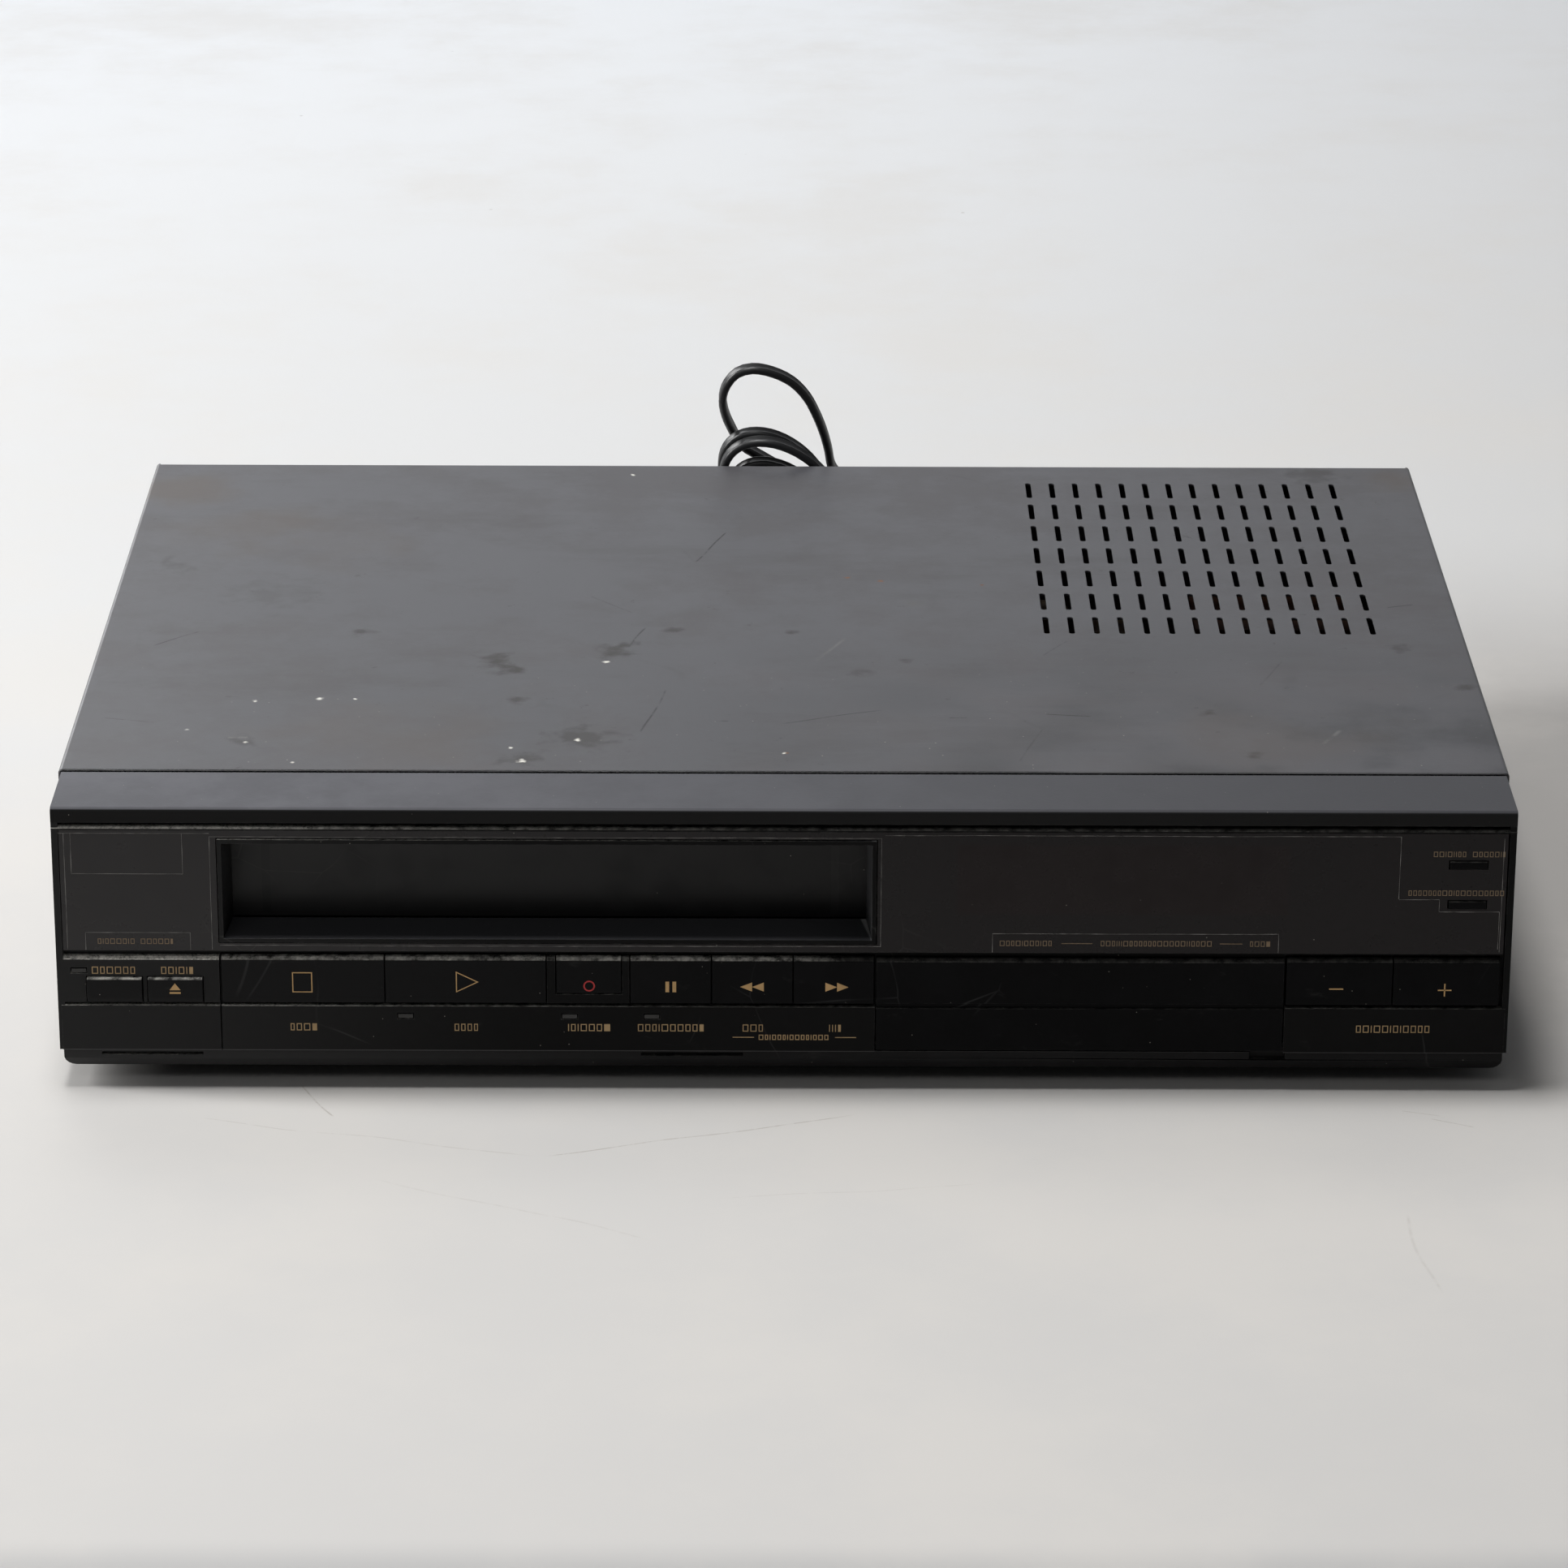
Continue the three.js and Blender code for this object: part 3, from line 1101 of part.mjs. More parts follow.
function hankSolid() {
  const half = [lead.thickness / 2, lead.width / 2];
  const round = half[0];
  const section = [
    [half[0], half[1] - round], [0, half[1]], [-half[0], half[1] - round],
    [-half[0], round - half[1]], [0, -half[1]], [half[0], round - half[1]],
  ];
  const rings = hankRings().map(({ u, v, w, angle }) => section.map(([across, along]) => hankPoint(
    u + across * Math.cos(angle),
    v + across * Math.sin(angle),
    w + along,
  )));
  printHank(rings);
  const positions = rings.flat().flatMap((point) => point.toArray());
  const n = section.length;
  const faces = [];
  for (let i = 0; i + 1 < rings.length; i += 1) {
    for (let k = 0; k < n; k += 1) {
      const a = i * n + k;
      const b = i * n + ((k + 1) % n);
      faces.push(a, b + n, b, a, a + n, b + n);
    }
  }
  const last = (rings.length - 1) * n;
  for (let k = 1; k + 1 < n; k += 1) {
    faces.push(0, k, k + 1, last, last + k + 1, last + k);
  }
  const geometry = new THREE.BufferGeometry();
  geometry.setAttribute('position', new THREE.Float32BufferAttribute(positions, 3));
  geometry.setIndex(faces);
  return asSolid(geometry);
}

function middleOf(ring) {
  return ring.reduce((sum, point) => sum.add(point), new THREE.Vector3()).divideScalar(ring.length);
}

function printHank(rings) {
  const apart = hank.arcSteps + hank.runSteps;
  let least = Infinity;
  rings.forEach((ring, i) => {
    for (let j = i + apart; j < rings.length; j += 1) {
      for (const a of ring) {
        for (const b of rings[j]) {
          least = Math.min(least, a.distanceTo(b));
        }
      }
    }
  });
  const length = rings.slice(1).reduce((sum, ring,
    i) => sum + middleOf(ring).distanceTo(middleOf(rings[i])), 0);
  console.log(`hank: ${length.toFixed(0)} mm of lead, least gap to itself ${least.toFixed(2)} mm`);
}

function tube(points) {
  const path = new THREE.CatmullRomCurve3(points, false, 'centripetal');
  const steps = Math.round(path.getLength() / lead.step);
  const section = new THREE.Shape(Array.from({ length: lead.tubeSides }, (_, i) => {
    const angle = (i / lead.tubeSides) * 2 * Math.PI;
    return new THREE.Vector2(lead.tube * Math.cos(angle), lead.tube * Math.sin(angle));
  }));
  console.log(`free stretch of lead: ${path.getLength().toFixed(0)} mm in ${steps} steps`);
  return asSolid(new THREE.ExtrudeGeometry(section, { steps, extrudePath: path, bevelEnabled: false }));
}

function fromCover([x, y, z]) {
  return new THREE.Vector3(x, cover.rear + y, z);
}

function addLead() {
  const rings = hankRings();
  const first = rings[0];
  const last = rings[rings.length - 1];
  const start = (rise) => hankPoint(first.u, first.v + rise, first.w);
  const end = (drop) => hankPoint(last.u, last.v - drop, last.w);
  const arch = archRoute.map(fromCover);
  const tail = tailRoute.map(fromCover);
  add('power_cord', tube([...arch, start(lead.endStraight), start(seatGap)]), looks.lead);
  add('cord_hank', hankSolid(), looks.lead);
  add('cord_tail', tube([end(seatGap), end(lead.endStraight), ...tail]), looks.lead);
  addPlug(tail[tail.length - 1]);
}

function addPlug(at) {
  const rear = at.x - seatGap;
  const shoulder = rear - plug.neckLength;
  const face = shoulder - plug.length + plug.corner;
  const half = plug.width / 2;
  const neck = plug.neck / 2;
  const outline = [
    [rear, at.y - neck / 2], [rear, at.y + neck / 2], [shoulder, at.y + neck],
    [shoulder - plug.corner, at.y + half - plug.corner], [shoulder - 2 * plug.corner, at.y + half],
    [face, at.y + half - plug.corner / 2], [face, at.y - half + plug.corner / 2],
    [shoulder - 2 * plug.corner, at.y - half], [shoulder - plug.corner, at.y - half + plug.corner],
    [shoulder, at.y - neck],
  ];
  let body = prism('z', outline, [0, plug.height]);
  for (const side of bothSides) {
    body = join(body, rod('x', plug.pin, [face - plug.pinLength, face + overrun],
      [at.y + side * plug.pinSpacing / 2, plug.height / 2]));
  }
  add('power_plug', body, looks.lead);
}

// The whole recorder
add('top_cover', topCover(), looks.cover);
add('front_panel', frontPanel(), looks.panel);
add('fascia_window', fasciaWindow(), looks.smoked);
add('cassette_door', cassetteDoorSolid(), looks.smoked);
add('timer_door', timerDoorSolid(), looks.key);
addKeys();
addButtons();
add('tracking_knob', trackingKnobSolid(), looks.key);
add('timer_program_key', timerKeySolid(), looks.key);
add('operate_lamp', operateLamp(), looks.lampGlass);
add('function_lamps', functionLampSolid(), looks.lampGlass);
add('display_tube', displayTubeSolid(), looks.display);
add('control_board', controlBoardSolid(), looks.board);
add('base_frame', baseFrame(), looks.panel);
add('rear_panel', rearPanelSolid(), looks.cover);
addFeet();
addScrews();
add('deck_plate', deckPlate(), looks.zinc);
add('left_holder_frame', holderFrame(-1), looks.zinc);
add('right_holder_frame', holderFrame(1), looks.zinc);
add('holder_slider', sliderSolid(), looks.zinc);
add('cassette_holder', holderSolid(), looks.zinc);
add('lower_drum', lowerDrum(), looks.aluminium);
add('upper_drum', upperDrum(), looks.aluminium);
add('supply_reel', reelSolid(-1), looks.white);
add('takeup_reel', reelSolid(1), looks.white);
add('capstan', capstanSolid(), looks.steel);
add('pinch_arm', pinchArm(), looks.zinc);
add('pinch_roller', pinchRoller(), looks.rubber);
add('supply_guide', guideSolid(-1), looks.steel);
add('takeup_guide', guideSolid(1), looks.steel);
add('tension_arm', tensionArm(), looks.zinc);
add('erase_head', headSolid(eraseHead), looks.steel);
add('audio_head', headSolid(audioHead), looks.steel);
add('loading_cam', camSolid(), looks.white);
add('loading_motor', motorSolid(), looks.zinc);
add('main_board', mainBoardSolid(), looks.board);
add('power_transformer', transformerSolid(), looks.copper);
add('tuner_box', tunerSolid(), looks.zinc);
add('strain_relief', strainRelief(), looks.rubber);
addLead();

// The origin stands under the middle of the recorder without its lead
const frontReach = pushButton.proud - keyRow.face;
const rearReach = rearFace + aerial.reach;
fromFront.position.y = (frontReach - rearReach) / 2;

export default group;
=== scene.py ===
"""Looks of a front-loading video cassette recorder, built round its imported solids.

Places are written in millimetres from the front face: x to the right, y to the back, z up. Numbers inside
materials are in metres of the row frame. A pair (from, to) there says where a mask is 0 and where it is 1.
"""

import json
import math

import bpy
import numpy as np
from mathutils import Matrix, Vector


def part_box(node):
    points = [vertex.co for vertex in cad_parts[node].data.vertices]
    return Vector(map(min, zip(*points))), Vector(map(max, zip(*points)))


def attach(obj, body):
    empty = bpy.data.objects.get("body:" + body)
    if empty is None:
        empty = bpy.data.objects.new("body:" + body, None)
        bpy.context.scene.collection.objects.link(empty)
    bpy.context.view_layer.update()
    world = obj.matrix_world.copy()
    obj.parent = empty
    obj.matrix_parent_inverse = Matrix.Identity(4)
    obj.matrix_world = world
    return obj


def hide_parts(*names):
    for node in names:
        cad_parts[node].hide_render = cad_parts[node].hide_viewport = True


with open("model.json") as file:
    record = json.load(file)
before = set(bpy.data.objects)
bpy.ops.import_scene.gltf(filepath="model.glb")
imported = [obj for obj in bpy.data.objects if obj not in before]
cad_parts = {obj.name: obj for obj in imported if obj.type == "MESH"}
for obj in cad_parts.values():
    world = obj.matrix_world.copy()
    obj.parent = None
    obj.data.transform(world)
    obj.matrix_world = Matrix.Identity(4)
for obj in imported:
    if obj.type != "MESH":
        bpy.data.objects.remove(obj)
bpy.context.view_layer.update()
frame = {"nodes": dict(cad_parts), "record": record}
scene = bpy.context.scene
rng = np.random.default_rng(7)

FRONT_TO_FRAME = -170.6  # y of the front face in the row frame, in millimetres
SHARP_ANGLE = math.radians(35)

# The steel cover's outside faces, its bends and its thickness
COVER = {"half": 218.2, "front": 32.8, "rear": 334.4, "top": 90.0, "bottom": 12.6, "bend": 1.3, "lip": 80.0,
         "skin": 1.0}

# Camera, from the photograph's viewing angle
PHOTO_PIXELS = 1932
FOCAL_PIXELS = 7266.9
CAMERA_PLACE = (-4.16, -1626.1, 715.9)
CAMERA_PITCH, CAMERA_YAW, CAMERA_ROLL = -0.3630, -0.0025, -0.0038


def metres(points):
    """Points from millimetres at the front face to metres in the row frame."""
    return (np.asarray(points, float) + (0, FRONT_TO_FRAME, 0)) / 1000


def add_camera():
    """A level camera looks along +Y; it is rolled, then tilted, then turned."""
    data = bpy.data.cameras.new("photo_camera")
    data.sensor_width = 36
    data.lens = data.sensor_width * FOCAL_PIXELS / PHOTO_PIXELS
    data.clip_start, data.clip_end = 0.05, 30
    camera = bpy.data.objects.new("photo_camera", data)
    scene.collection.objects.link(camera)
    level = Matrix.Rotation(math.pi / 2, 3, "X")
    turn = Matrix.Rotation(CAMERA_YAW, 3, "Z")
    tilt = Matrix.Rotation(CAMERA_PITCH, 3, "X")
    roll = Matrix.Rotation(CAMERA_ROLL, 3, "Y")
    camera.matrix_world = (turn @ tilt @ roll @ level).to_4x4()
    camera.location = metres(CAMERA_PLACE)
    scene.camera = camera


# Shapes: each returns (points in millimetres, list of faces)
def grid_faces(rows, columns, close_rows=False, close_columns=False):
    """Quads between neighbours of a rows by columns grid, joined round where it closes."""
    i = np.arange(rows if close_rows else rows - 1)
    j = np.arange(columns if close_columns else columns - 1)
    i, j = (a.ravel() for a in np.meshgrid(i, j, indexing="ij"))
    ni, nj = (i + 1) % rows, (j + 1) % columns
    return np.stack([i * columns + j, ni * columns + j, ni * columns + nj, i * columns + nj], 1).tolist()


def sheet(rings, turned_over=False):
    """An open sheet through rings of equal count; it faces along (step between rings) x (step in a ring)."""
    faces = grid_faces(*rings.shape[:2])
    return rings.reshape(-1, 3), [face[::-1] for face in faces] if turned_over else faces


def merged(*shapes):
    """The shapes as one, with each one's faces counted on from the points before it."""
    points, faces, start = [], [], 0
    for shape_points, shape_faces in shapes:
        points.append(np.asarray(shape_points, float).reshape(-1, 3))
        faces += [[index + start for index in face] for face in shape_faces]
        start += len(points[-1])
    return np.concatenate(points), faces


def lofted(rings):
    """Quads between rings of equal count, and one face over each end ring."""
    rings = np.asarray(rings, float)
    count, around = rings.shape[:2]
    faces = grid_faces(count, around, close_columns=True)
    faces.append(list(range(around)))
    faces.append([(count - 1) * around + k for k in reversed(range(around))])
    return rings.reshape(-1, 3), faces


def circle(count, last=2 * np.pi, closed=False):
    """The cosines and sines of evenly spread angles from zero."""
    angle = np.linspace(0, last, count, endpoint=closed)
    return np.cos(angle), np.sin(angle)


def turned(profile, centre, axis="y", around=32):
    """A (radius, along) profile turned round an axis: across = radius (cos a, sin a), along stays."""
    profile = np.asarray(profile, float)
    cos, sin = circle(around)
    radius, along = profile[:, :1], profile[:, 1:]
    a, b, c = radius * cos, radius * sin, along + 0 * cos
    order = {"x": (c, a, b), "y": (b, c, a), "z": (a, b, c)}[axis]
    return lofted(np.stack(order, -1) + np.asarray(centre, float))


def washer(profile, centre, around=36):
    """A closed (radius, along) profile turned round the depth direction into a ring."""
    profile = np.asarray(profile, float)
    cos, sin = circle(around)
    radius, along = profile[:, :1], profile[:, 1:]
    rings = np.stack([radius * cos, along + 0 * cos, radius * sin], -1) + np.array(centre, float)
    return rings.reshape(-1, 3), grid_faces(len(profile), around, True, True)


def carried(section, centres, across, along):
    """A section (a, b) carried along centres: point = centre + a across + b along."""
    section = np.asarray(section, float)
    a, b = section[None, :, :1], section[None, :, 1:]
    return lofted(centres[:, None] + a * across[:, None] + b * along[:, None])


def bar(low, high):
    """A straight bar between two corners, as two rings joined along the depth."""
    (x0, y0, z0), (x1, y1, z1) = low, high
    return lofted([[(x0, y, z0), (x1, y, z0), (x1, y, z1), (x0, y, z1)] for y in (y0, y1)])


def unit(vectors):
    return vectors / np.linalg.norm(vectors, axis=1)[:, None]


def mesh_object(name, points, faces, material, smooth=True):
    mesh = bpy.data.meshes.new(name)
    mesh.from_pydata(points.tolist(), [], faces)
    mesh.materials.append(material)
    if smooth:
        mesh.polygons.foreach_set("use_smooth", np.ones(len(mesh.polygons), bool))
    thing = bpy.data.objects.new(name, mesh)
    scene.collection.objects.link(thing)
    return thing


def add_piece(name, shape, finish, body="chassis", smooth=True, node=()):
    """One finished mesh object riding on a body, shaded smooth up to the sharp angle."""
    points, faces = shape
    piece = mesh_object(name, metres(points), faces, finishes[finish], smooth)
    if smooth:
        piece.data.set_sharp_from_angle(angle=SHARP_ANGLE)
    piece.data.update()
    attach(piece, body)
    if node:
        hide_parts(*([node] if isinstance(node, str) else node))
    return piece


# Node trees
class Tree:
    """A node tree under construction; inputs are given by name or number, as values or as sockets."""

    def __init__(self, tree):
        self.tree = tree

    def give(self, node, inputs):
        for key, value in inputs.items():
            if isinstance(value, bpy.types.NodeSocket):
                self.tree.links.new(value, node.inputs[key])
            else:
                node.inputs[key].default_value = value
        return node

    def add(self, kind, inputs=None, **settings):
        node = self.tree.nodes.new(kind)
        for key, value in settings.items():
            setattr(node, key, value)
        return self.give(node, inputs or {})

    def math(self, operation, a, b=0.0, clamp=False):
        return self.add("ShaderNodeMath", {0: a, 1: b}, operation=operation, use_clamp=clamp).outputs[0]

    def times(self, product, *others):
        for other in others:
            product = self.math("MULTIPLY", product, other)
        return product

    def vector(self, operation, *operands):
        """Vector arithmetic; a distance and a dot product come out as a number."""
        node = self.add("ShaderNodeVectorMath", dict(enumerate(operands)), operation=operation)
        return node.outputs["Value" if operation in ("DISTANCE", "DOT_PRODUCT") else "Vector"]

    def scaled(self, vector, by):
        return self.add("ShaderNodeVectorMath", {0: vector, "Scale": by}, operation="SCALE").outputs["Vector"]

    def parts(self, vector):
        return self.add("ShaderNodeSeparateXYZ", {0: vector}).outputs

    def normal(self):
        return self.add("ShaderNodeNewGeometry").outputs["Normal"]

    def between(self, value, low, high, out_low=0.0, out_high=1.0):
        """Value from low to high, spread smoothly over out_low to out_high."""
        inputs = {"Value": value, "From Min": low, "From Max": high, "To Min": out_low, "To Max": out_high}
        return self.add("ShaderNodeMapRange", inputs, interpolation_type="SMOOTHSTEP").outputs["Result"]

    def band(self, value, rise, fall):
        """Mask that rises over one pair of values and falls over the other."""
        return self.times(self.between(value, *rise), self.between(value, *fall))

    def upward(self):
        """Mask of what faces up."""
        return self.between(self.parts(self.normal())[2], 0.3, 0.8)

    def colour(self, mask, below, above):
        return self.add("ShaderNodeMix", {0: mask, 6: below, 7: above}, data_type="RGBA").outputs[2]

    def number(self, mask, below, above):
        return self.add("ShaderNodeMix", {0: mask, 2: below, 3: above}, data_type="FLOAT").outputs[0]

    def noise(self, vector, scale, detail=3.0, rough=0.55):
        inputs = {"Vector": vector, "Scale": scale, "Detail": detail, "Roughness": rough}
        return self.add("ShaderNodeTexNoise", inputs).outputs["Fac"]

    def stretched(self, vector, scale, turn=(0, 0, 0)):
        inputs = {"Vector": vector, "Scale": scale, "Rotation": turn}
        return self.add("ShaderNodeMapping", inputs).outputs["Vector"]


def effect(name, **sockets):
    """Turns a function of a tree and its given inputs into a shader node group that puts out one mask. Each
    further socket is a number, or a point where its value is None; Vector always comes first."""
    def group(build):
        tree = bpy.data.node_groups.new(name, "ShaderNodeTree")
        for label, value in {"Vector": None, **sockets}.items():
            kind = "NodeSocketVector" if value is None else "NodeSocketFloat"
            socket = tree.interface.new_socket(label, in_out="INPUT", socket_type=kind)
            if value is not None:
                socket.default_value = value
        tree.interface.new_socket("Value", in_out="OUTPUT", socket_type="NodeSocketFloat")
        inside = Tree(tree)
        given = inside.add("NodeGroupInput").outputs
        inside.add("NodeGroupOutput", {"Value": build(inside, given)})
        return tree
    return group


@effect("dust_specks", Scale=400.0, Size=0.2, Share=0.05)
def specks(t, given):
    """Round specks in a share of random cells: mask = near a cell's point and the cell drawn."""
    cells = t.add("ShaderNodeTexVoronoi", {"Vector": given["Vector"], "Scale": given["Scale"]}).outputs
    drawn = t.add("ShaderNodeSeparateColor", {"Color": cells["Color"]}).outputs[0]
    near = t.between(cells["Distance"], given["Size"], 0.0)
    return t.times(near, t.math("LESS_THAN", drawn, given["Share"]))


@effect("settled_dust", Scale=300.0, Amount=0.5)
def settled(t, given):
    """Dust lying on what faces up: mask = upward share times patchy noise."""
    patchy = t.between(t.noise(given["Vector"], given["Scale"], 6.0, 0.7), 0.3, 0.72)
    return t.times(t.upward(), patchy, given["Amount"])


@effect("edge_wear", Scale=250.0, Width=0.0005, Amount=0.5)
def wear(t, given):
    """Bare or pale edges: mask = how far the rounded normal departs from the face's, broken by noise."""
    rounded = t.add("ShaderNodeBevel", {"Radius": given["Width"]}, samples=6).outputs["Normal"]
    edge = t.between(t.vector("DOT_PRODUCT", t.normal(), rounded), 0.985, 0.86)
    broken = t.between(t.noise(given["Vector"], given["Scale"], 5.0, 0.7), 0.42, 0.66)
    return t.times(edge, broken, given["Amount"])


@effect("hairline_scratches", Scale=20.0, Amount=0.5)
def scratches(t, given):
    """Hairlines: the borders of long distorted cells, kept only where a coarse noise is high."""
    bend = t.times(t.noise(given["Vector"], 14.0, 2.0), 0.05)
    shifted = t.vector("ADD", given["Vector"], t.add("ShaderNodeCombineXYZ", {0: bend}).outputs[0])
    inputs = {"Vector": shifted, "Scale": given["Scale"]}
    border = t.add("ShaderNodeTexVoronoi", inputs, feature="DISTANCE_TO_EDGE").outputs["Distance"]
    line = t.between(border, 0.012, 0.002)
    sparse = t.between(t.noise(given["Vector"], 21.0, 3.0), 0.56, 0.7)
    return t.times(line, sparse, given["Amount"])


@effect("ledge_dust", Amount=0.7)
def ledge_dust(t, given):
    """Fine bright specks crowded on what faces up: two sizes of them, thicker where a noise is high."""
    crowd = t.between(t.noise(given["Vector"], 90.0, 4.0, 0.7), 0.38, 0.68)
    fine = t.between(t.noise(given["Vector"], 2600.0, 2.0, 0.6), 0.56, 0.7)
    coarse = t.between(t.noise(given["Vector"], 1100.0, 3.0, 0.7), 0.6, 0.7)
    both = t.math("ADD", t.times(fine, crowd), t.times(coarse, crowd), True)
    return t.times(both, t.upward(), given["Amount"])


@effect("stain", Centre=None, Radius=0.01, Grain=60.0, Amount=0.5)
def stain(t, given):
    """A soft-edged patch round a point: distance bent by noise, faded out at the radius."""
    bent = t.math("SUBTRACT", t.noise(given["Vector"], given["Grain"], 6.0, 0.5), 0.5)
    away = t.vector("DISTANCE", given["Vector"], given["Centre"])
    ragged = t.math("ADD", away, t.times(bent, t.times(given["Radius"], 2.6)))
    return t.times(t.between(ragged, given["Radius"], 0.0), given["Amount"])


@effect("line_mark", Start=None, End=None, Width=0.0003, Amount=0.5)
def line_mark(t, given):
    """A hairline from one point to another: distance to the segment, bent and broken by noise."""
    run = t.vector("SUBTRACT", given["End"], given["Start"])
    wave = t.add("ShaderNodeTexNoise", {"Vector": given["Vector"], "Scale": 9.0, "Detail": 2.0})
    centred = t.vector("SUBTRACT", wave.outputs["Color"], (0.5, 0.5, 0.5))
    bent = t.vector("MULTIPLY_ADD", centred, (0.02, 0.02, 0.0), given["Vector"])
    here = t.vector("SUBTRACT", bent, given["Start"])
    share = t.math("DIVIDE", t.vector("DOT_PRODUCT", here, run), t.vector("DOT_PRODUCT", run, run), True)
    line = t.between(t.vector("DISTANCE", here, t.scaled(run, share)), given["Width"], 0.0)
    broken = t.between(t.noise(given["Vector"], 160.0, 4.0, 0.7), 0.3, 0.6)
    return t.times(line, t.band(share, (0.0, 0.08), (1.0, 0.9)), broken, given["Amount"])


@effect("smudges", Scale=12.0)
def smudges(t, given):
    """Cloudy handling marks: two noises of unlike scale multiplied and spread."""
    broad = t.noise(given["Vector"], given["Scale"], 4.0, 0.6)
    fine = t.noise(given["Vector"], t.times(given["Scale"], 4.3), 5.0, 0.65)
    return t.between(t.times(broad, fine), 0.18, 0.38)


finishes = {}  # the finished materials, by the names that they are made under


class Finish(Tree):
    """One material with a Principled surface; masks lay dust, wear and marks over its own colour."""

    def __init__(self, name, colour, rough, metallic=0.0, specular=0.5):
        self.name = name
        self.material = bpy.data.materials.new(name)
        self.material.use_nodes = True
        super().__init__(self.material.node_tree)
        self.tree.nodes.clear()
        constants = {"Metallic": metallic, "Specular IOR Level": specular}
        self.shader = self.add("ShaderNodeBsdfPrincipled", constants)
        self.add("ShaderNodeOutputMaterial", {"Surface": self.shader.outputs[0]})
        self.place = self.add("ShaderNodeTexCoord").outputs["Object"]
        self.base, self.rough = (*colour, 1.0), rough

    def effect(self, group, **inputs):
        return self.add("ShaderNodeGroup", {"Vector": self.place, **inputs}, node_tree=group).outputs["Value"]

    def over(self, mask, colour, rough=None):
        """Lays a colour and, if given, a roughness over what is there, where the mask says."""
        self.base = self.colour(mask, self.base, (*colour, 1.0))
        if rough is not None:
            self.rough = self.number(mask, self.rough, rough)

    def done(self, height=None, distance=0.0):
        """Ends the material, with a height raised on it if one is given."""
        if height is not None:
            bump = self.add("ShaderNodeBump", {"Height": height, "Distance": distance, "Strength": 0.6})
            self.give(self.shader, {"Normal": bump.outputs["Normal"]})
        self.give(self.shader, {"Base Color": self.base, "Roughness": self.rough})
        finishes[self.name] = self.material


def toned(colour, by=1.0, plus=0.0):
    return tuple(min(1.0, by * c + plus) for c in colour)


DUST = (0.36, 0.34, 0.30)
LEDGE_DUST = (0.72, 0.70, 0.64)
SPECK = (0.4, 0.38, 0.34)
PAINT = (0.064, 0.064, 0.071)

# Marks on the cover: (x, y, radius, share) of stains, haze and patch, (start, end, share) of scratches and
# scuffs, and (x, y, radius) of chips and rust
COVER_STAINS = [
    (-91, 132, 9, 0.85), (-86, 122, 7, 0.85), (-55, 140, 8, 0.8), (-50, 146, 5, 0.7), (-135, 157, 5, 0.7),
    (-35, 161, 4, 0.7), (-83, 94, 4, 0.8), (-61, 61, 13, 0.6), (-80, 43, 8, 0.6), (-166, 57, 6, 0.5),
    (131, 84, 3.5, 0.8), (143, 45, 5, 0.8), (2, 158, 3, 0.7), (23, 120, 5, 0.5), (38, 132, 3, 0.6),
    (196, 145, 5, 0.6), (213, 108, 5, 0.6), (184, 326, 14, 0.4), (-166, 194, 20, 0.2), (-203, 222, 9, 0.35),
]
COVER_HAZE = [
    (-203, 306, 30, 0.6), (-183, 258, 34, 0.4), (-150, 246, 30, 0.3), (208, 326, 18, 0.5),
    (150, 60, 40, 0.25), (-120, 60, 40, 0.3),
]
COVER_PATCH = [(42, 188, 5, 0.6)]
COVER_SCRATCHES = [
    ((-29, 230), (-18, 262), 1.0), ((-45, 67), (-39, 104), 0.9), ((-199, 144), (-186, 157), 0.9),
    ((-65, 195), (-48, 178), 0.5), ((-50, 144), (-43, 165), 0.9), ((-23, 79), (-18, 79), 1.0),
    ((-211, 75), (-193, 69), 0.6), ((0, 78), (31, 89), 0.8), ((50, 81), (56, 81), 1.0),
    ((81, 84), (97, 83), 1.0), ((198, 183), (207, 186), 0.9), ((149, 112), (157, 134), 0.4),
    ((74, 42), (81, 72), 0.4), ((84, 136), (92, 150), 0.4),
]
COVER_SCUFFS = [((8, 131), (21, 158), 0.5), ((166, 56), (172, 70), 0.6), ((-168, 57), (-162, 58), 0.9)]
COVER_CHIPS = [
    (-164, 93, 1.2), (-144, 95, 1.5), (-133, 95, 1.0), (-183, 67, 1.1), (-56, 130, 1.5), (0, 48, 1.0),
    (-148, 39, 0.9), (-52, 323, 1.2), (-63, 59, 1.5), (-79, 41, 1.8), (-164, 56, 1.3), (-83, 52, 1.1),
]
COVER_RUST = [(21, 213, 1.3), (32, 210, 1.5), (65, 206, 1.1), (1, 48, 1.0)]


def lay_line(f, start, end, height, width, share, **look):
    """A hairline between two (x, y) places at a height, in millimetres; its width is in metres."""
    ends = {"Start": metres((*start, height)).tolist(), "End": metres((*end, height)).tolist()}
    f.over(f.effect(line_mark, **ends, Width=width, Amount=share), **look)


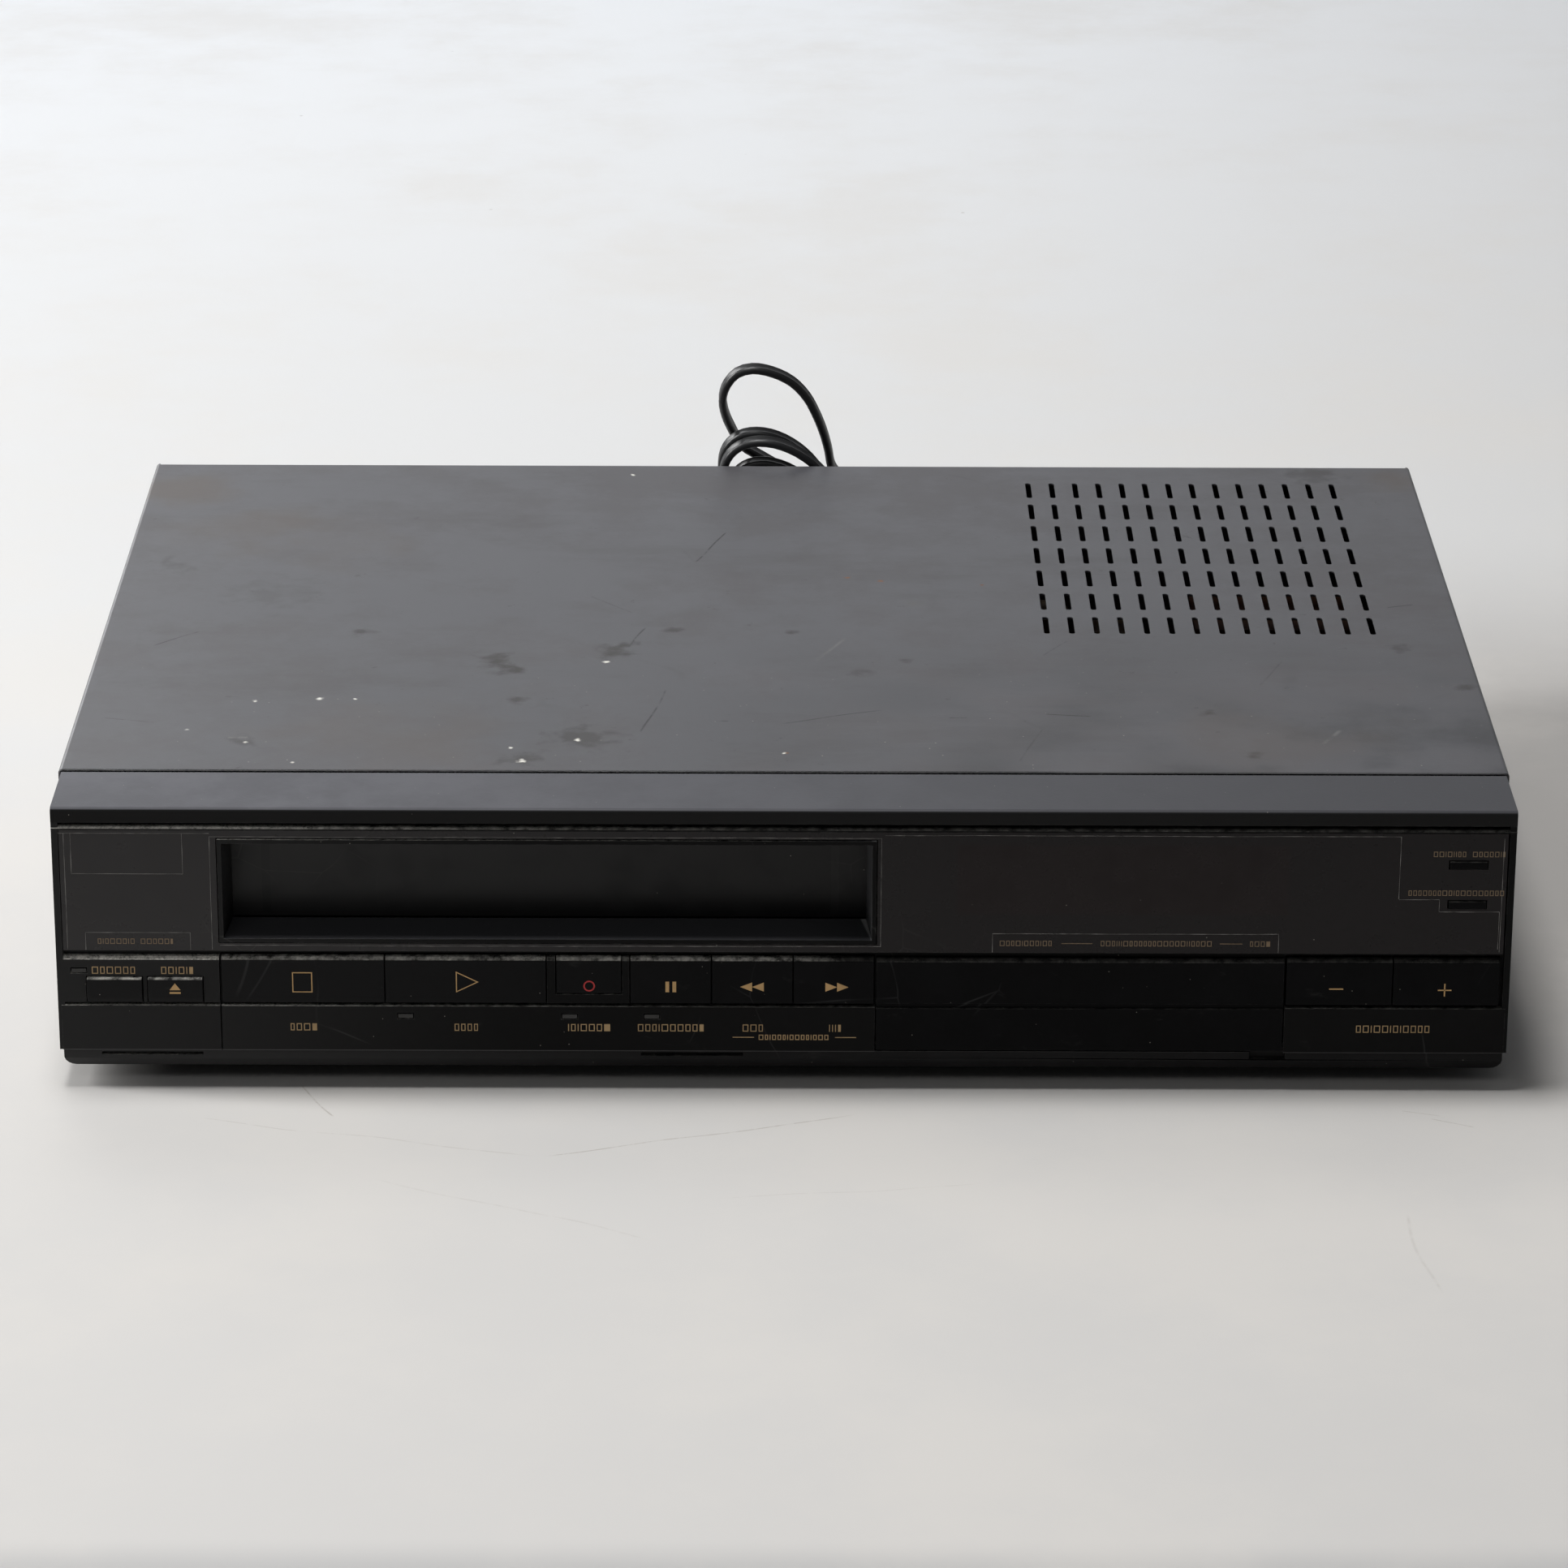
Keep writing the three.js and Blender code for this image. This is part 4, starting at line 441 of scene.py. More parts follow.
def marked_top(f):
    """Stains, haze, scratches, scuffs, chips and rust at their places on the flat top."""
    spots = (
        (COVER_STAINS, 170.0, (0.019, 0.0165, 0.014), 0.7), (COVER_HAZE, 34.0, (0.074, 0.058, 0.047), 0.6),
        (COVER_PATCH, 60.0, (0.095, 0.094, 0.092), 0.7),
        ([(*chip, 1.0) for chip in COVER_CHIPS], 500.0, (0.72, 0.70, 0.64), 0.8),
        ([(*spot, 0.7) for spot in COVER_RUST], 500.0, (0.22, 0.09, 0.03), 0.8),
    )
    for places, grain, colour, rough in spots:
        for x, y, radius, share in places:
            centre = metres((x, y, COVER["top"])).tolist()
            spot = f.effect(stain, Centre=centre, Radius=radius / 1000, Grain=grain, Amount=share)
            f.over(spot, colour, rough)
    lines = ((COVER_SCRATCHES, (0.010, 0.010, 0.010), 0.00055), (COVER_SCUFFS, (0.13, 0.13, 0.125), 0.0011))
    for places, colour, width in lines:
        for start, end, share in places:
            lay_line(f, start, end, COVER["top"], width, share, colour=colour, rough=0.6)


def painted_steel(name):
    """Dark blue-grey satin, with painted shade that darkens it towards the front and the right and most at
    the front right corner; cloudy wear, brownish film, small dark spots and pale specks that crowd towards
    the front, and the marks of the flat top."""
    f = Finish(name, PAINT, 0.42, specular=0.62)
    x, y, _ = f.parts(f.place)
    # Painted shade: the paint is darkened towards the front, towards the right, and most at the front right
    # corner
    front_shade, right_shade = f.between(y, 0.12, -0.14), f.between(x, 0.0, 0.22)
    f.over(f.times(front_shade, 0.34), toned(PAINT, 0.55))
    f.over(f.times(right_shade, 0.12), toned(PAINT, 0.55))
    corner = f.times(f.between(x, -0.08, 0.17), f.between(y, 0.02, -0.13))
    f.over(f.times(corner, 0.95), toned(PAINT, 0.45), 0.5)
    f.over(f.effect(smudges, Scale=5.5), toned(PAINT, 1.1), 0.48)
    f.over(f.times(f.effect(smudges, Scale=11.0), 0.35), (0.047, 0.041, 0.041), 0.56)
    film = f.between(f.noise(f.stretched(f.place, (9.0, 26.0, 9.0)), 1.0, 6.0, 0.7), 0.5, 0.72)
    f.over(f.times(film, 0.3), (0.038, 0.034, 0.034), 0.58)
    spots = f.between(f.noise(f.place, 130.0, 5.0, 0.75), 0.655, 0.72)
    f.over(f.times(spots, 0.45), (0.022, 0.021, 0.020), 0.6)
    f.over(f.effect(scratches, Scale=11.0, Amount=0.35), (0.030, 0.030, 0.032))
    f.over(f.effect(specks, Scale=420.0, Size=0.16, Share=0.012), (0.2, 0.19, 0.17), 0.9)
    crowded = f.effect(specks, Scale=520.0, Size=0.2, Share=0.03)
    f.over(f.times(f.between(y, 0.02, -0.12), crowded), SPECK, 0.9)
    marked_top(f)
    f.over(f.effect(wear, Amount=0.35, Width=0.0006), (0.15, 0.15, 0.155))
    f.done(f.noise(f.place, 1600.0, 2.0), 0.00003)


def inside_box(f, x, z, box, soft=0.0001):
    """Mask of an upright rectangle (x0, x1, z0, z1), soft over 0.2 mm."""
    x0, x1, z0, z1 = (value / 1000 for value in box)
    across = f.band(x, (x0 - soft, x0 + soft), (x1 + soft, x1 - soft))
    return f.times(across, f.band(z, (z0 - soft, z0 + soft), (z1 + soft, z1 - soft)))


# Places on the moulded front where its tone changes
OUTSIDE_FACE = [(FRONT_TO_FRAME + y) / 1000 for y in (3.4, 2.6)]
REFLECTING_EDGE = (0.0118, 0.0121), (0.0127, 0.0124)
BROW_FACE, BROW_TOP = (0.0848, 0.0856), (0.0893, 0.0897)
SLOT_END, SLOT_HEIGHT = ((0.0, 0.026), (0.032, 0.030)), ((0.0470, 0.0474), (0.0806, 0.0800))
SLOT_FLOOR = (-168, 30, 46.5, 50.5)
WEDGE_SLOPE, WEDGE = 0.176, (0.0258, 0.0264)


def brow_and_slot(f, colour, outside_face, dust):
    """Thick dust far left, the brow's top in the cover's paint with painted light that makes it paler to the
    left, its paler face, and painted light that falls into the slot: on its floor, on its right side and, as
    a pale wedge, at the floor's right end."""
    x, y, z = f.parts(f.place)
    thick = f.times(outside_face, f.between(x, -0.12, -0.17))
    f.over(f.times(thick, f.effect(settled, Scale=1200.0, Amount=dust)), LEDGE_DUST, 0.9)
    f.over(f.between(z, *BROW_FACE), toned(colour, plus=0.010))
    nx, _, nz = f.parts(f.normal())
    side, facing_up = f.times(f.band(x, *SLOT_END), f.band(z, *SLOT_HEIGHT)), f.between(nz, 0.6, 0.9)
    f.over(f.times(facing_up, inside_box(f, x, z, SLOT_FLOOR)), (0.065, 0.065, 0.070), 0.5)
    f.over(f.times(side, facing_up), (0.045, 0.046, 0.050), 0.5)
    f.over(f.times(side, f.between(nx, -0.6, -0.9)), (0.085, 0.086, 0.090), 0.5)
    slant = f.math("ADD", x, f.times(f.math("ADD", y, -FRONT_TO_FRAME / 1000), WEDGE_SLOPE))
    f.over(f.times(side, f.times(f.between(slant, *WEDGE), facing_up)), (0.25, 0.25, 0.25), 0.6)
    # The brow's top takes the cover's paint, scaled from paler at the left to darker at the right as painted
    # light
    top = f.between(z, *BROW_TOP)
    f.base = f.colour(top, f.base, f.scaled(PAINT, f.number(f.between(x, -0.22, 0.22), 1.65, 0.83)))
    f.rough = f.number(top, f.rough, 0.4)
    f.over(f.times(top, f.times(f.effect(smudges, Scale=9.0), 0.4)), (0.06, 0.06, 0.066), 0.5)


def moulded(name, colour, rough, specular, worn, painted_left_light, dust=0.3, ledge=0.7, left_light_span=(0.05, -0.22),
            thin=(0.02, -0.22, 0.18), brow=False):
    """Near-black plastic: faint grain, cloudy handling marks and dusty ledges that thin out to the right;
    painted light makes the left side paler, and a painted reflection of the floor lies along the front's
    lower edge.
    """
    f = Finish(name, colour, rough, specular=specular)
    x, y, z = f.parts(f.place)
    f.over(f.effect(smudges, Scale=18.0), toned(colour, 1.5, 0.001), rough + 0.1)
    # Painted light: the colour is made paler towards the left
    f.over(f.times(f.between(x, *left_light_span), 0.8), toned(colour, plus=painted_left_light))
    f.over(f.effect(scratches, Scale=34.0, Amount=0.4), toned(colour, plus=0.06))
    scuffs = f.noise(f.stretched(f.place, (40.0, 40.0, 90.0), (0, 0.6, 0)), 1.0, 5.0, 0.7)
    f.over(f.times(f.between(scuffs, 0.62, 0.76), 0.22), (0.07, 0.068, 0.065), 0.6)
    outside_face = f.between(y, *OUTSIDE_FACE)
    outside = f.times(outside_face, f.between(x, *thin, 1.0))
    f.over(f.times(outside, f.effect(settled, Amount=dust)), LEDGE_DUST, 0.9)
    f.over(f.times(outside, f.effect(ledge_dust, Amount=ledge)), (0.8, 0.77, 0.70), 0.9)
    # Painted reflection: the floor's light on the rounded lower edge of the front, stronger to the left
    edge_reflection = f.times(f.band(z, *REFLECTING_EDGE), f.between(x, 0.1, -0.216, 0.7, 1.0))
    f.over(f.times(outside_face, edge_reflection), (0.125, 0.122, 0.124), 0.5)
    if brow:
        brow_and_slot(f, colour, outside_face, dust)
    f.over(f.effect(wear, Amount=worn, Width=0.0003), (0.15, 0.147, 0.145), 0.5)
    f.over(f.effect(specks, Scale=700.0, Size=0.15, Share=0.018), SPECK, 0.9)
    f.done(f.noise(f.place, 900.0, 2.0), 0.00004)


# Painted highlight round the slot, paler strips on the flap, and the display's field behind the window
SLOT_HIGHLIGHT = {"outer": (-168.2, 27.4, 47.2, 79.9), "inner": (-166.8, 26.2, 48.5, 78.8)}
FLAP_STRIPS = [(-156.5, -153.9, 50, 79), (14.2, 16.6, 50, 79)]
DISPLAY_ACROSS, DISPLAY_UP = ((0.0506, 0.0526), (0.151, 0.149)), ((0.0558, 0.0578), (0.0800, 0.0780))


def smoked_acrylic(name, colour, rough, painted_left_light, display=False):
    """Smoked plastic with finger marks, dust and hairlines, made paler towards the left as painted light; the
    window has a reddish field over the display and a painted highlight round the slot, and the flap has two
    paler strips."""
    f = Finish(name, colour, rough, specular=0.2)
    x, _, z = f.parts(f.place)
    f.over(f.effect(smudges, Scale=26.0), toned(colour, 1.3, 0.002), rough + 0.14)
    # Painted light: the colour is made paler towards the left
    f.over(f.times(f.between(x, 0.08, -0.23), 0.9), toned(colour, plus=painted_left_light))
    if display:
        f.over(f.times(f.band(x, *DISPLAY_ACROSS), f.band(z, *DISPLAY_UP)), (0.0108, 0.0062, 0.0064))
        # Painted highlight: a paler rim between the outer and the inner box round the slot
        outer, inner = (inside_box(f, x, z, SLOT_HIGHLIGHT[edge]) for edge in ("outer", "inner"))
        f.over(f.times(f.math("SUBTRACT", outer, inner), 0.5), (0.030, 0.028, 0.028))
    else:
        for strip in FLAP_STRIPS:
            f.over(f.times(inside_box(f, x, z, strip), 0.6), (0.017, 0.0165, 0.0165))
    f.over(f.effect(scratches, Scale=45.0, Amount=0.35), (0.06, 0.058, 0.055))
    f.over(f.effect(specks, Scale=500.0, Size=0.13, Share=0.02), DUST, 0.9)
    f.over(f.effect(ledge_dust, Amount=0.5), (0.5, 0.48, 0.43), 0.9)
    f.over(f.effect(wear, Amount=0.4, Width=0.0004), (0.12, 0.115, 0.11), 0.5)
    f.done()


def plain(name, colour, rough, fleck=0.12, metallic=0.0, grain=600.0):
    """A simple finish for small and hidden pieces: cloudy tone, fine grain, dust and worn edges."""
    f = Finish(name, colour, rough, metallic)
    f.over(f.effect(smudges, Scale=30.0), toned(colour, 0.78), min(1.0, rough + 0.12))
    f.over(f.effect(wear, Amount=fleck), toned(colour, 1.5, 0.04))
    f.over(f.effect(specks, Scale=600.0, Size=0.18, Share=0.03), DUST, 0.9)
    f.done(f.noise(f.place, grain, 3.0), 0.00004)


def brushed(name, colour, rough):
    """Rolled or plated steel: streaks along one way, faint stains and bright edges."""
    f = Finish(name, colour, rough, 0.9)
    streaks = f.noise(f.stretched(f.place, (1400.0, 60.0, 1400.0)), 1.0, 3.0)
    f.over(f.between(streaks, 0.35, 0.65), toned(colour, 0.8), rough + 0.1)
    f.over(f.effect(smudges, Scale=16.0), toned(colour, 0.7), rough + 0.16)
    f.over(f.effect(wear, Amount=0.5), toned(colour, 1.3))
    f.done(streaks, 0.00002)


def circuit_laminate(name):
    """Brown laminate with darker copper traces showing through and pale printed flecks."""
    # The laminate is kept dark: painted shade of the inside seen through the vents
    f = Finish(name, (0.085, 0.048, 0.02), 0.45)
    cells = f.add("ShaderNodeTexVoronoi", {"Vector": f.place, "Scale": 260.0}, distance="CHEBYCHEV")
    f.over(f.between(cells.outputs["Distance"], 0.34, 0.42), (0.045, 0.024, 0.012), 0.35)
    f.over(f.effect(specks, Scale=300.0, Size=0.2, Share=0.25), (0.25, 0.235, 0.21), 0.35)
    f.over(f.effect(settled, Amount=0.3), DUST, 0.9)
    f.done()


painted_steel("cover_paint")
moulded("panel_plastic", (0.0026, 0.0025, 0.0026), 0.42, 0.09, 0.4, 0.026, dust=1.0, ledge=1.0,
        left_light_span=(-0.06, -0.216), brow=True)
moulded("base_plastic", (0.0080, 0.0077, 0.0081), 0.5, 0.12, 0.3, 0.034, left_light_span=(0.0, -0.216))
moulded("key_plastic", (0.0022, 0.0022, 0.0026), 0.38, 0.06, 0.4, 0.015, dust=1.0, ledge=1.0,
        thin=(0.026, -0.008, 0.08))
smoked_acrylic("smoked_window", (0.0076, 0.0056, 0.0061), 0.26, 0.031, display=True)
smoked_acrylic("flap_plastic", (0.0066, 0.0062, 0.0065), 0.3, 0.022)
circuit_laminate("board_laminate")
for name, shade, rough in (
    ("plated_steel", (0.50, 0.50, 0.50), 0.32), ("polished_steel", (0.62, 0.62, 0.63), 0.16),
    ("machined_aluminium", (0.60, 0.60, 0.61), 0.26),
):
    brushed(name, shade, rough)
for name, *look in (  # colour, roughness, fleck, metallic, grain
    ("lamp_lens", (0.022, 0.021, 0.020), 0.45),
    ("display_glass", (0.03, 0.012, 0.012), 0.15),
    ("white_plastic", (0.62, 0.60, 0.54), 0.42),
    # The transformer is kept dark: painted shade of the inside seen through the vents
    ("transformer_steel", (0.07, 0.032, 0.02), 0.4, 0.12, 0.3),
    ("soft_rubber", (0.016, 0.016, 0.016), 0.8, 0.12, 0.0, 1500.0),
    ("lead_jacket", (0.018, 0.018, 0.019), 0.33, 0.0),
    ("black_screw", (0.03, 0.03, 0.03), 0.4, 0.4, 0.6),
    ("gold_print", (0.62, 0.385, 0.155), 0.5, 0.0),
    ("dim_gold_print", (0.46, 0.31, 0.15), 0.6, 0.0),
    ("faint_gold_print", (0.24, 0.165, 0.095), 0.6, 0.0),
    ("red_print", (0.50, 0.02, 0.02), 0.5, 0.0),
    ("film_edge", (0.29, 0.28, 0.265), 0.4, 0.0),
):
    plain(name, *look)

# Solids whose finish isn't their slot's
OWN_FINISH = {"cassette_door": "flap_plastic", "base_frame": "base_plastic"}

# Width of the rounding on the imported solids' edges, in millimetres
ROUNDING = {"front_panel": 0.22, "fascia_window": 0.15, "timer_door": 0.2, "cassette_door": 0.2,
            "base_frame": 0.4, "rear_panel": 0.2}
KEY_ROUNDING = 0.25
SMALL_ROUNDING = 0.12


def even_normals(piece):
    """Big faces keep their own normal, and only the small rounded ones shade over the bend."""
    piece.data.polygons.foreach_set("use_smooth", np.ones(len(piece.data.polygons), bool))
    weighted = piece.modifiers.new("even_normals", "WEIGHTED_NORMAL")
    weighted.mode, weighted.weight, weighted.keep_sharp = "FACE_AREA", 90, True


def join_points(piece, distance):
    piece.modifiers.new("joined_points", "WELD").merge_threshold = distance


def dress_nodes():
    """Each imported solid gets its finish; flat regions are joined before their edges are rounded."""
    for part in frame["record"]["subparts"]:
        node = frame["nodes"][part["node"]]
        node.data.materials.clear()
        node.data.materials.append(finishes[OWN_FINISH.get(node.name, part["material_slot"])])
        join_points(node, 0.000004)
        flat = node.modifiers.new("joined_faces", "DECIMATE")
        flat.decimate_type = "DISSOLVE"
        flat.angle_limit = math.radians(1)
        pressed = node.name.endswith(("_key", "_button"))
        edge = node.modifiers.new("rounded_edges", "BEVEL")
        edge.width = ROUNDING.get(node.name, KEY_ROUNDING if pressed else SMALL_ROUNDING) / 1000
        edge.segments = 2
        edge.limit_method = "ANGLE"
        edge.angle_limit = SHARP_ANGLE
        even_normals(node)


# Steel cover: one folded sheet with rows of punched vent slots
VENTS = {"columns": 14, "rows": 7, "pitch": (8.05, 23.4), "first": (84.5, 166.4), "half": (0.86, 8.0),
         "roll": 0.3}


def stadium(half_width, half_length, count=10):
    """Outline of a slot: two half circles of the width, count steps each, joined by straight sides."""
    cos, sin = circle(count + 1, np.pi, closed=True)
    far = np.stack([half_width * cos, half_length - half_width + half_width * sin], 1)
    return np.concatenate([far, -far])


def vent_cell(x, y):
    """One cell of the vent field: four faces from the cell's corners to a rolled slot edge."""
    pitch_x, pitch_y = (p / 2 for p in VENTS["pitch"])
    half_x, half_y = VENTS["half"]
    roll = VENTS["roll"]
    outer = stadium(half_x + roll, half_y + roll)
    inner = stadium(half_x, half_y)
    count = len(outer)
    corners = [[pitch_x, pitch_y], [-pitch_x, pitch_y], [-pitch_x, -pitch_y], [pitch_x, -pitch_y]]
    flat = np.concatenate([corners, outer, (outer + inner) / 2, inner]) + (x, y)
    drop = np.repeat([0.0, 0.09 * roll, roll], [4 + count, count, count])
    faces = (np.array(grid_faces(3, count, close_columns=True))[:, ::-1] + 4).tolist()
    half = count // 2
    starts = [0, half // 2, half, half + half // 2, count]
    for side in range(4):
        arc = [4 + k % count for k in range(starts[side], starts[side + 1] + 1)]
        faces.append([(side + 1) % 4, *reversed(arc), side])
    return np.column_stack([flat, COVER["top"] - drop]), faces


def folded(edge, bottom):
    """From the flat top over a bend and down an outside face, as (outwards, z)."""
    top, bend = COVER["top"], COVER["bend"]
    cos, sin = circle(5, np.pi / 2, closed=True)
    arc = np.stack([edge - bend + bend * sin, top - bend + bend * cos], 1)
    return np.concatenate([arc, [[edge, bottom]]])


def cover_shape():
    """The sheet's outline across (sides and two bends) carried from front to rear, with the vent field
    left out of the flat top and filled with slotted cells, and a lip folded down at the rear."""
    half, bend, rear = COVER["half"], COVER["bend"], COVER["rear"]
    (pitch_x, pitch_y), (first_x, first_y) = VENTS["pitch"], VENTS["first"]
    columns = first_x + (np.arange(VENTS["columns"] + 1) - 0.5) * pitch_x
    rows = first_y + (np.arange(VENTS["rows"] + 1) - 0.5) * pitch_y
    lines_x = np.concatenate([[bend - half], columns, [half - bend]])
    lines_y = np.concatenate([[COVER["front"]], rows, [rear - bend]])
    side, lip = folded(half, COVER["bottom"]), folded(rear, COVER["lip"])
    shapes = [
        sheet(np.stack([np.insert(side * (sign, 1), 1, y, axis=1) for y in (*lines_y, rear)]), sign > 0)
        for sign in (-1, 1)
    ]
    flat = np.array([[x, y, COVER["top"]] for y in lines_y for x in lines_x])
    faces = np.array(grid_faces(len(lines_y), len(lines_x)))[:, ::-1]
    row, column = np.divmod(np.arange(len(faces)), len(lines_x) - 1)
    vented = (row > 0) & (row < len(lines_y) - 2) & (column > 0) & (column < len(lines_x) - 2)
    shapes.append((flat, faces[~vented].tolist()))
    for y in first_y + np.arange(VENTS["rows"]) * pitch_y:
        for x in first_x + np.arange(VENTS["columns"]) * pitch_x:
            shapes.append(vent_cell(x, y))
    shapes.append(sheet(np.stack([np.insert(lip, 0, x, axis=1) for x in lines_x])))
    return merged(*shapes)


def add_cover():
    cover = add_piece("steel_cover", cover_shape(), "cover_paint", node="top_cover")
    join_points(cover, 0.00001)
    skin = cover.modifiers.new("sheet", "SOLIDIFY")
    skin.thickness = COVER["skin"] / 1000
    skin.offset = -1
    even_normals(cover)


# Printed marks: thin outlines lifted a little off the face they are printed on
PRINT = 0.05
PANEL_FACE, KEY_FACE, EJECT_FACE, WINDOW_FACE = 0.0, 0.2, -1.0, 0.4
LABEL_HEIGHT, SMALL_LABEL_HEIGHT, WINDOW_LABEL_HEIGHT = 2.3, 1.7, 1.7
LABEL_STROKE, WINDOW_STROKE = 0.27, 0.22
SMALL_LABEL_ROW = 17  # z of the one row of smaller labels
ON_KEYS = 30  # z above which the panel's labels stand in front, as far as the keys

# Rows of labels and lengths of legend lines: (x0, x1, z)
PANEL_WORDS = [
    (-206.5, -192.5, 38.1), (-185.8, -176.3, 38.1), (-147.6, -139.7, 20), (-98.5, -91, 20),
    (-64.5, -51.9, 20), (-43.6, -23.9, 20), (-12.2, -5.2, 20), (13.7, 17.2, 20), (-7.4, 14, SMALL_LABEL_ROW),
    (171.6, 194.1, 20.2),
]
WINDOW_WORDS = [
    (-204.4, -193.4, 47.4), (-191.6, -182, 47.4), (64.4, 80.5, 47.5), (94.5, 128, 47.5), (139, 145, 47.5),
    (192.6, 202.6, 76.4), (204.2, 213.8, 76.4), (185.6, 214.2, 64),
]
PANEL_LINES = [(-15.2, -8.8, SMALL_LABEL_ROW), (15.5, 21.8, SMALL_LABEL_ROW)]
WINDOW_LINES = [(82.8, 92, 47.5), (130, 136.7, 47.5)]


def upright(outline, depth):
    """An (x, z) outline set at a depth."""
    return np.insert(np.asarray(outline, float), 1, depth, axis=1)


def print_shape(outline, hole, face):
    """A closed mark on a face, between an outline and, if given, a hole of equal count."""
    depths = (face - PRINT / 2, face - PRINT / 2 + PRINT)
    wall = [upright(outline, depth) for depth in depths]
    if hole is None:
        return lofted(wall)
    near, far = (upright(hole, depth) for depth in depths)
    return np.stack([far, near, *wall]), grid_faces(4, len(outline), True, True)


def box_outline(x0, x1, z0, z1):
    return [[x0, z0], [x1, z0], [x1, z1], [x0, z1]]


def inset(outline, by):
    """The outline moved inwards by a distance: each corner along its two sides' normals."""
    outline = np.asarray(outline, float)
    sides = outline - np.roll(outline, 1, 0), np.roll(outline, -1, 0) - outline
    normal, next_normal = (unit(side)[:, ::-1] * (-1, 1) for side in sides)
    middle = normal + next_normal
    return outline + by * middle / np.sum(middle * normal, 1)[:, None]


def hollow(outline, stroke=0.3):
    return outline, inset(outline, stroke)


def dash(x0, x1, z, height):
    return box_outline(x0, x1, z - height / 2, z + height / 2)


def ring_outline(centre, radius):
    cos, sin = circle(24)
    return np.stack([centre[0] + radius * cos, centre[1] + radius * sin], 1)


def triangle(x0, x1, z0, z1):
    """A triangle pointing to x1."""
    low, high = (z0, z1) if x1 > x0 else (z1, z0)
    return [[x0, low], [x1, (z0 + z1) / 2], [x0, high]]


def word_blocks(x0, x1, z, height, stroke):
    """A row of small plain blocks from x0 to x1, centred on z: hollow ones of uneven width and some bars."""
    blocks, x = [], x0
    while x < x1 - 2 * stroke:
        width = height * (0.5 + 0.35 * rng.random()) if rng.random() < 0.8 else stroke
        block = dash(x, min(x + width, x1), z, height)
        blocks.append(hollow(block, stroke) if width > 3 * stroke and x + width <= x1 else (block, None))
        x += width + 0.27 * height
    return blocks


def filled(*outlines):
    return [(outline, None) for outline in outlines]


RECORD_MARK = (-58.1, 33.4)
MARKS = {
    "stop_key": [hollow(box_outline(-146.8, -140.8, 31.1, 37.6))],
    "play_key": [hollow(triangle(-97.9, -91.1, 31.2, 38.0))],
    "pause_key": filled(box_outline(-35.3, -34.2, 31.5, 34.9), box_outline(-33.2, -32.1, 31.5, 34.9)),
    "rewind_key": filled(triangle(-9.4, -13.0, 31.8, 34.7), triangle(-5.9, -9.4, 31.8, 34.7)),
    "fast_forward_key": filled(triangle(12.5, 16.0, 31.8, 34.7), triangle(16.0, 19.4, 31.8, 34.7)),
    "channel_down_key": filled(dash(163.1, 167.3, 33.1, 0.4)),
    "channel_up_key": filled(dash(195.6, 199.7, 32.8, 0.4), box_outline(197.45, 197.85, 30.8, 34.9)),
    "record_key": [(ring_outline(RECORD_MARK, 1.75), ring_outline(RECORD_MARK, 1.3))],
    "eject_button": filled([[-183.4, 32.2], [-180.1, 32.2], [-181.75, 34.4]],
                           box_outline(-183.4, -180.1, 31.0, 31.6)),
}


def add_print(name, shapes, finish, body="chassis"):
    add_piece(name, merged(*shapes), finish, body, smooth=False)


def add_marks():
    """The tape marks on the keys, and rows of small plain blocks where the panel is lettered."""
    for key, marks in MARKS.items():
        face = EJECT_FACE if key == "eject_button" else KEY_FACE
        shapes = [print_shape(outline, hole, face) for outline, hole in marks]
        add_print(f"{key}_mark", shapes, "red_print" if key == "record_key" else "gold_print", key)
    panel = []
    for x0, x1, z in PANEL_WORDS:
        height = SMALL_LABEL_HEIGHT if z == SMALL_LABEL_ROW else LABEL_HEIGHT
        face = KEY_FACE if z > ON_KEYS else PANEL_FACE
        panel += [print_shape(*block, face) for block in word_blocks(x0, x1, z, height, LABEL_STROKE)]
    lines = [print_shape(dash(*line, 0.25), None, PANEL_FACE) for line in PANEL_LINES]
    add_print("panel_lettering", panel, "dim_gold_print")
    add_print("panel_lines", lines, "dim_gold_print")
    window = [print_shape(*block, WINDOW_FACE) for row in WINDOW_WORDS
              for block in word_blocks(*row, WINDOW_LABEL_HEIGHT, WINDOW_STROKE)]
    lines = [print_shape(dash(*line, 0.22), None, WINDOW_FACE) for line in WINDOW_LINES]
    add_print("window_lettering", window, "faint_gold_print")
    add_print("window_lines", lines, "faint_gold_print")


# Film left on the window: its cut edges show as thin pale lines
FILM_LINES = [
    [(-213.4, 81.9), (-213.4, 44.8)], [(-215, 81.9), (-170.3, 81.9)],
    [(-211.4, 81.9), (-211.4, 69), (-178.4, 69)], [(-178.4, 69), (-178.4, 81.9)],
    [(-208, 44.6), (-208, 50.2), (-176.8, 50.2), (-176.8, 44.6)],
    [(-170.3, 44.8), (-170.3, 80.9), (28.9, 80.9), (28.9, 46.2)], [(-168, 46.2), (28.9, 46.2)],
    [(62.2, 44.6), (62.2, 50.6), (147.5, 50.6), (147.5, 44.6)], [(30, 81.9), (182.8, 81.9), (182.8, 62.1)],
    [(182.8, 61.9), (194.9, 61.9), (194.9, 58), (212.9, 58), (212.9, 46)], [(213.4, 81.4), (213.4, 45)],
]
FILM_NEAR, FILM_THICKNESS = WINDOW_FACE - 0.03, 0.04


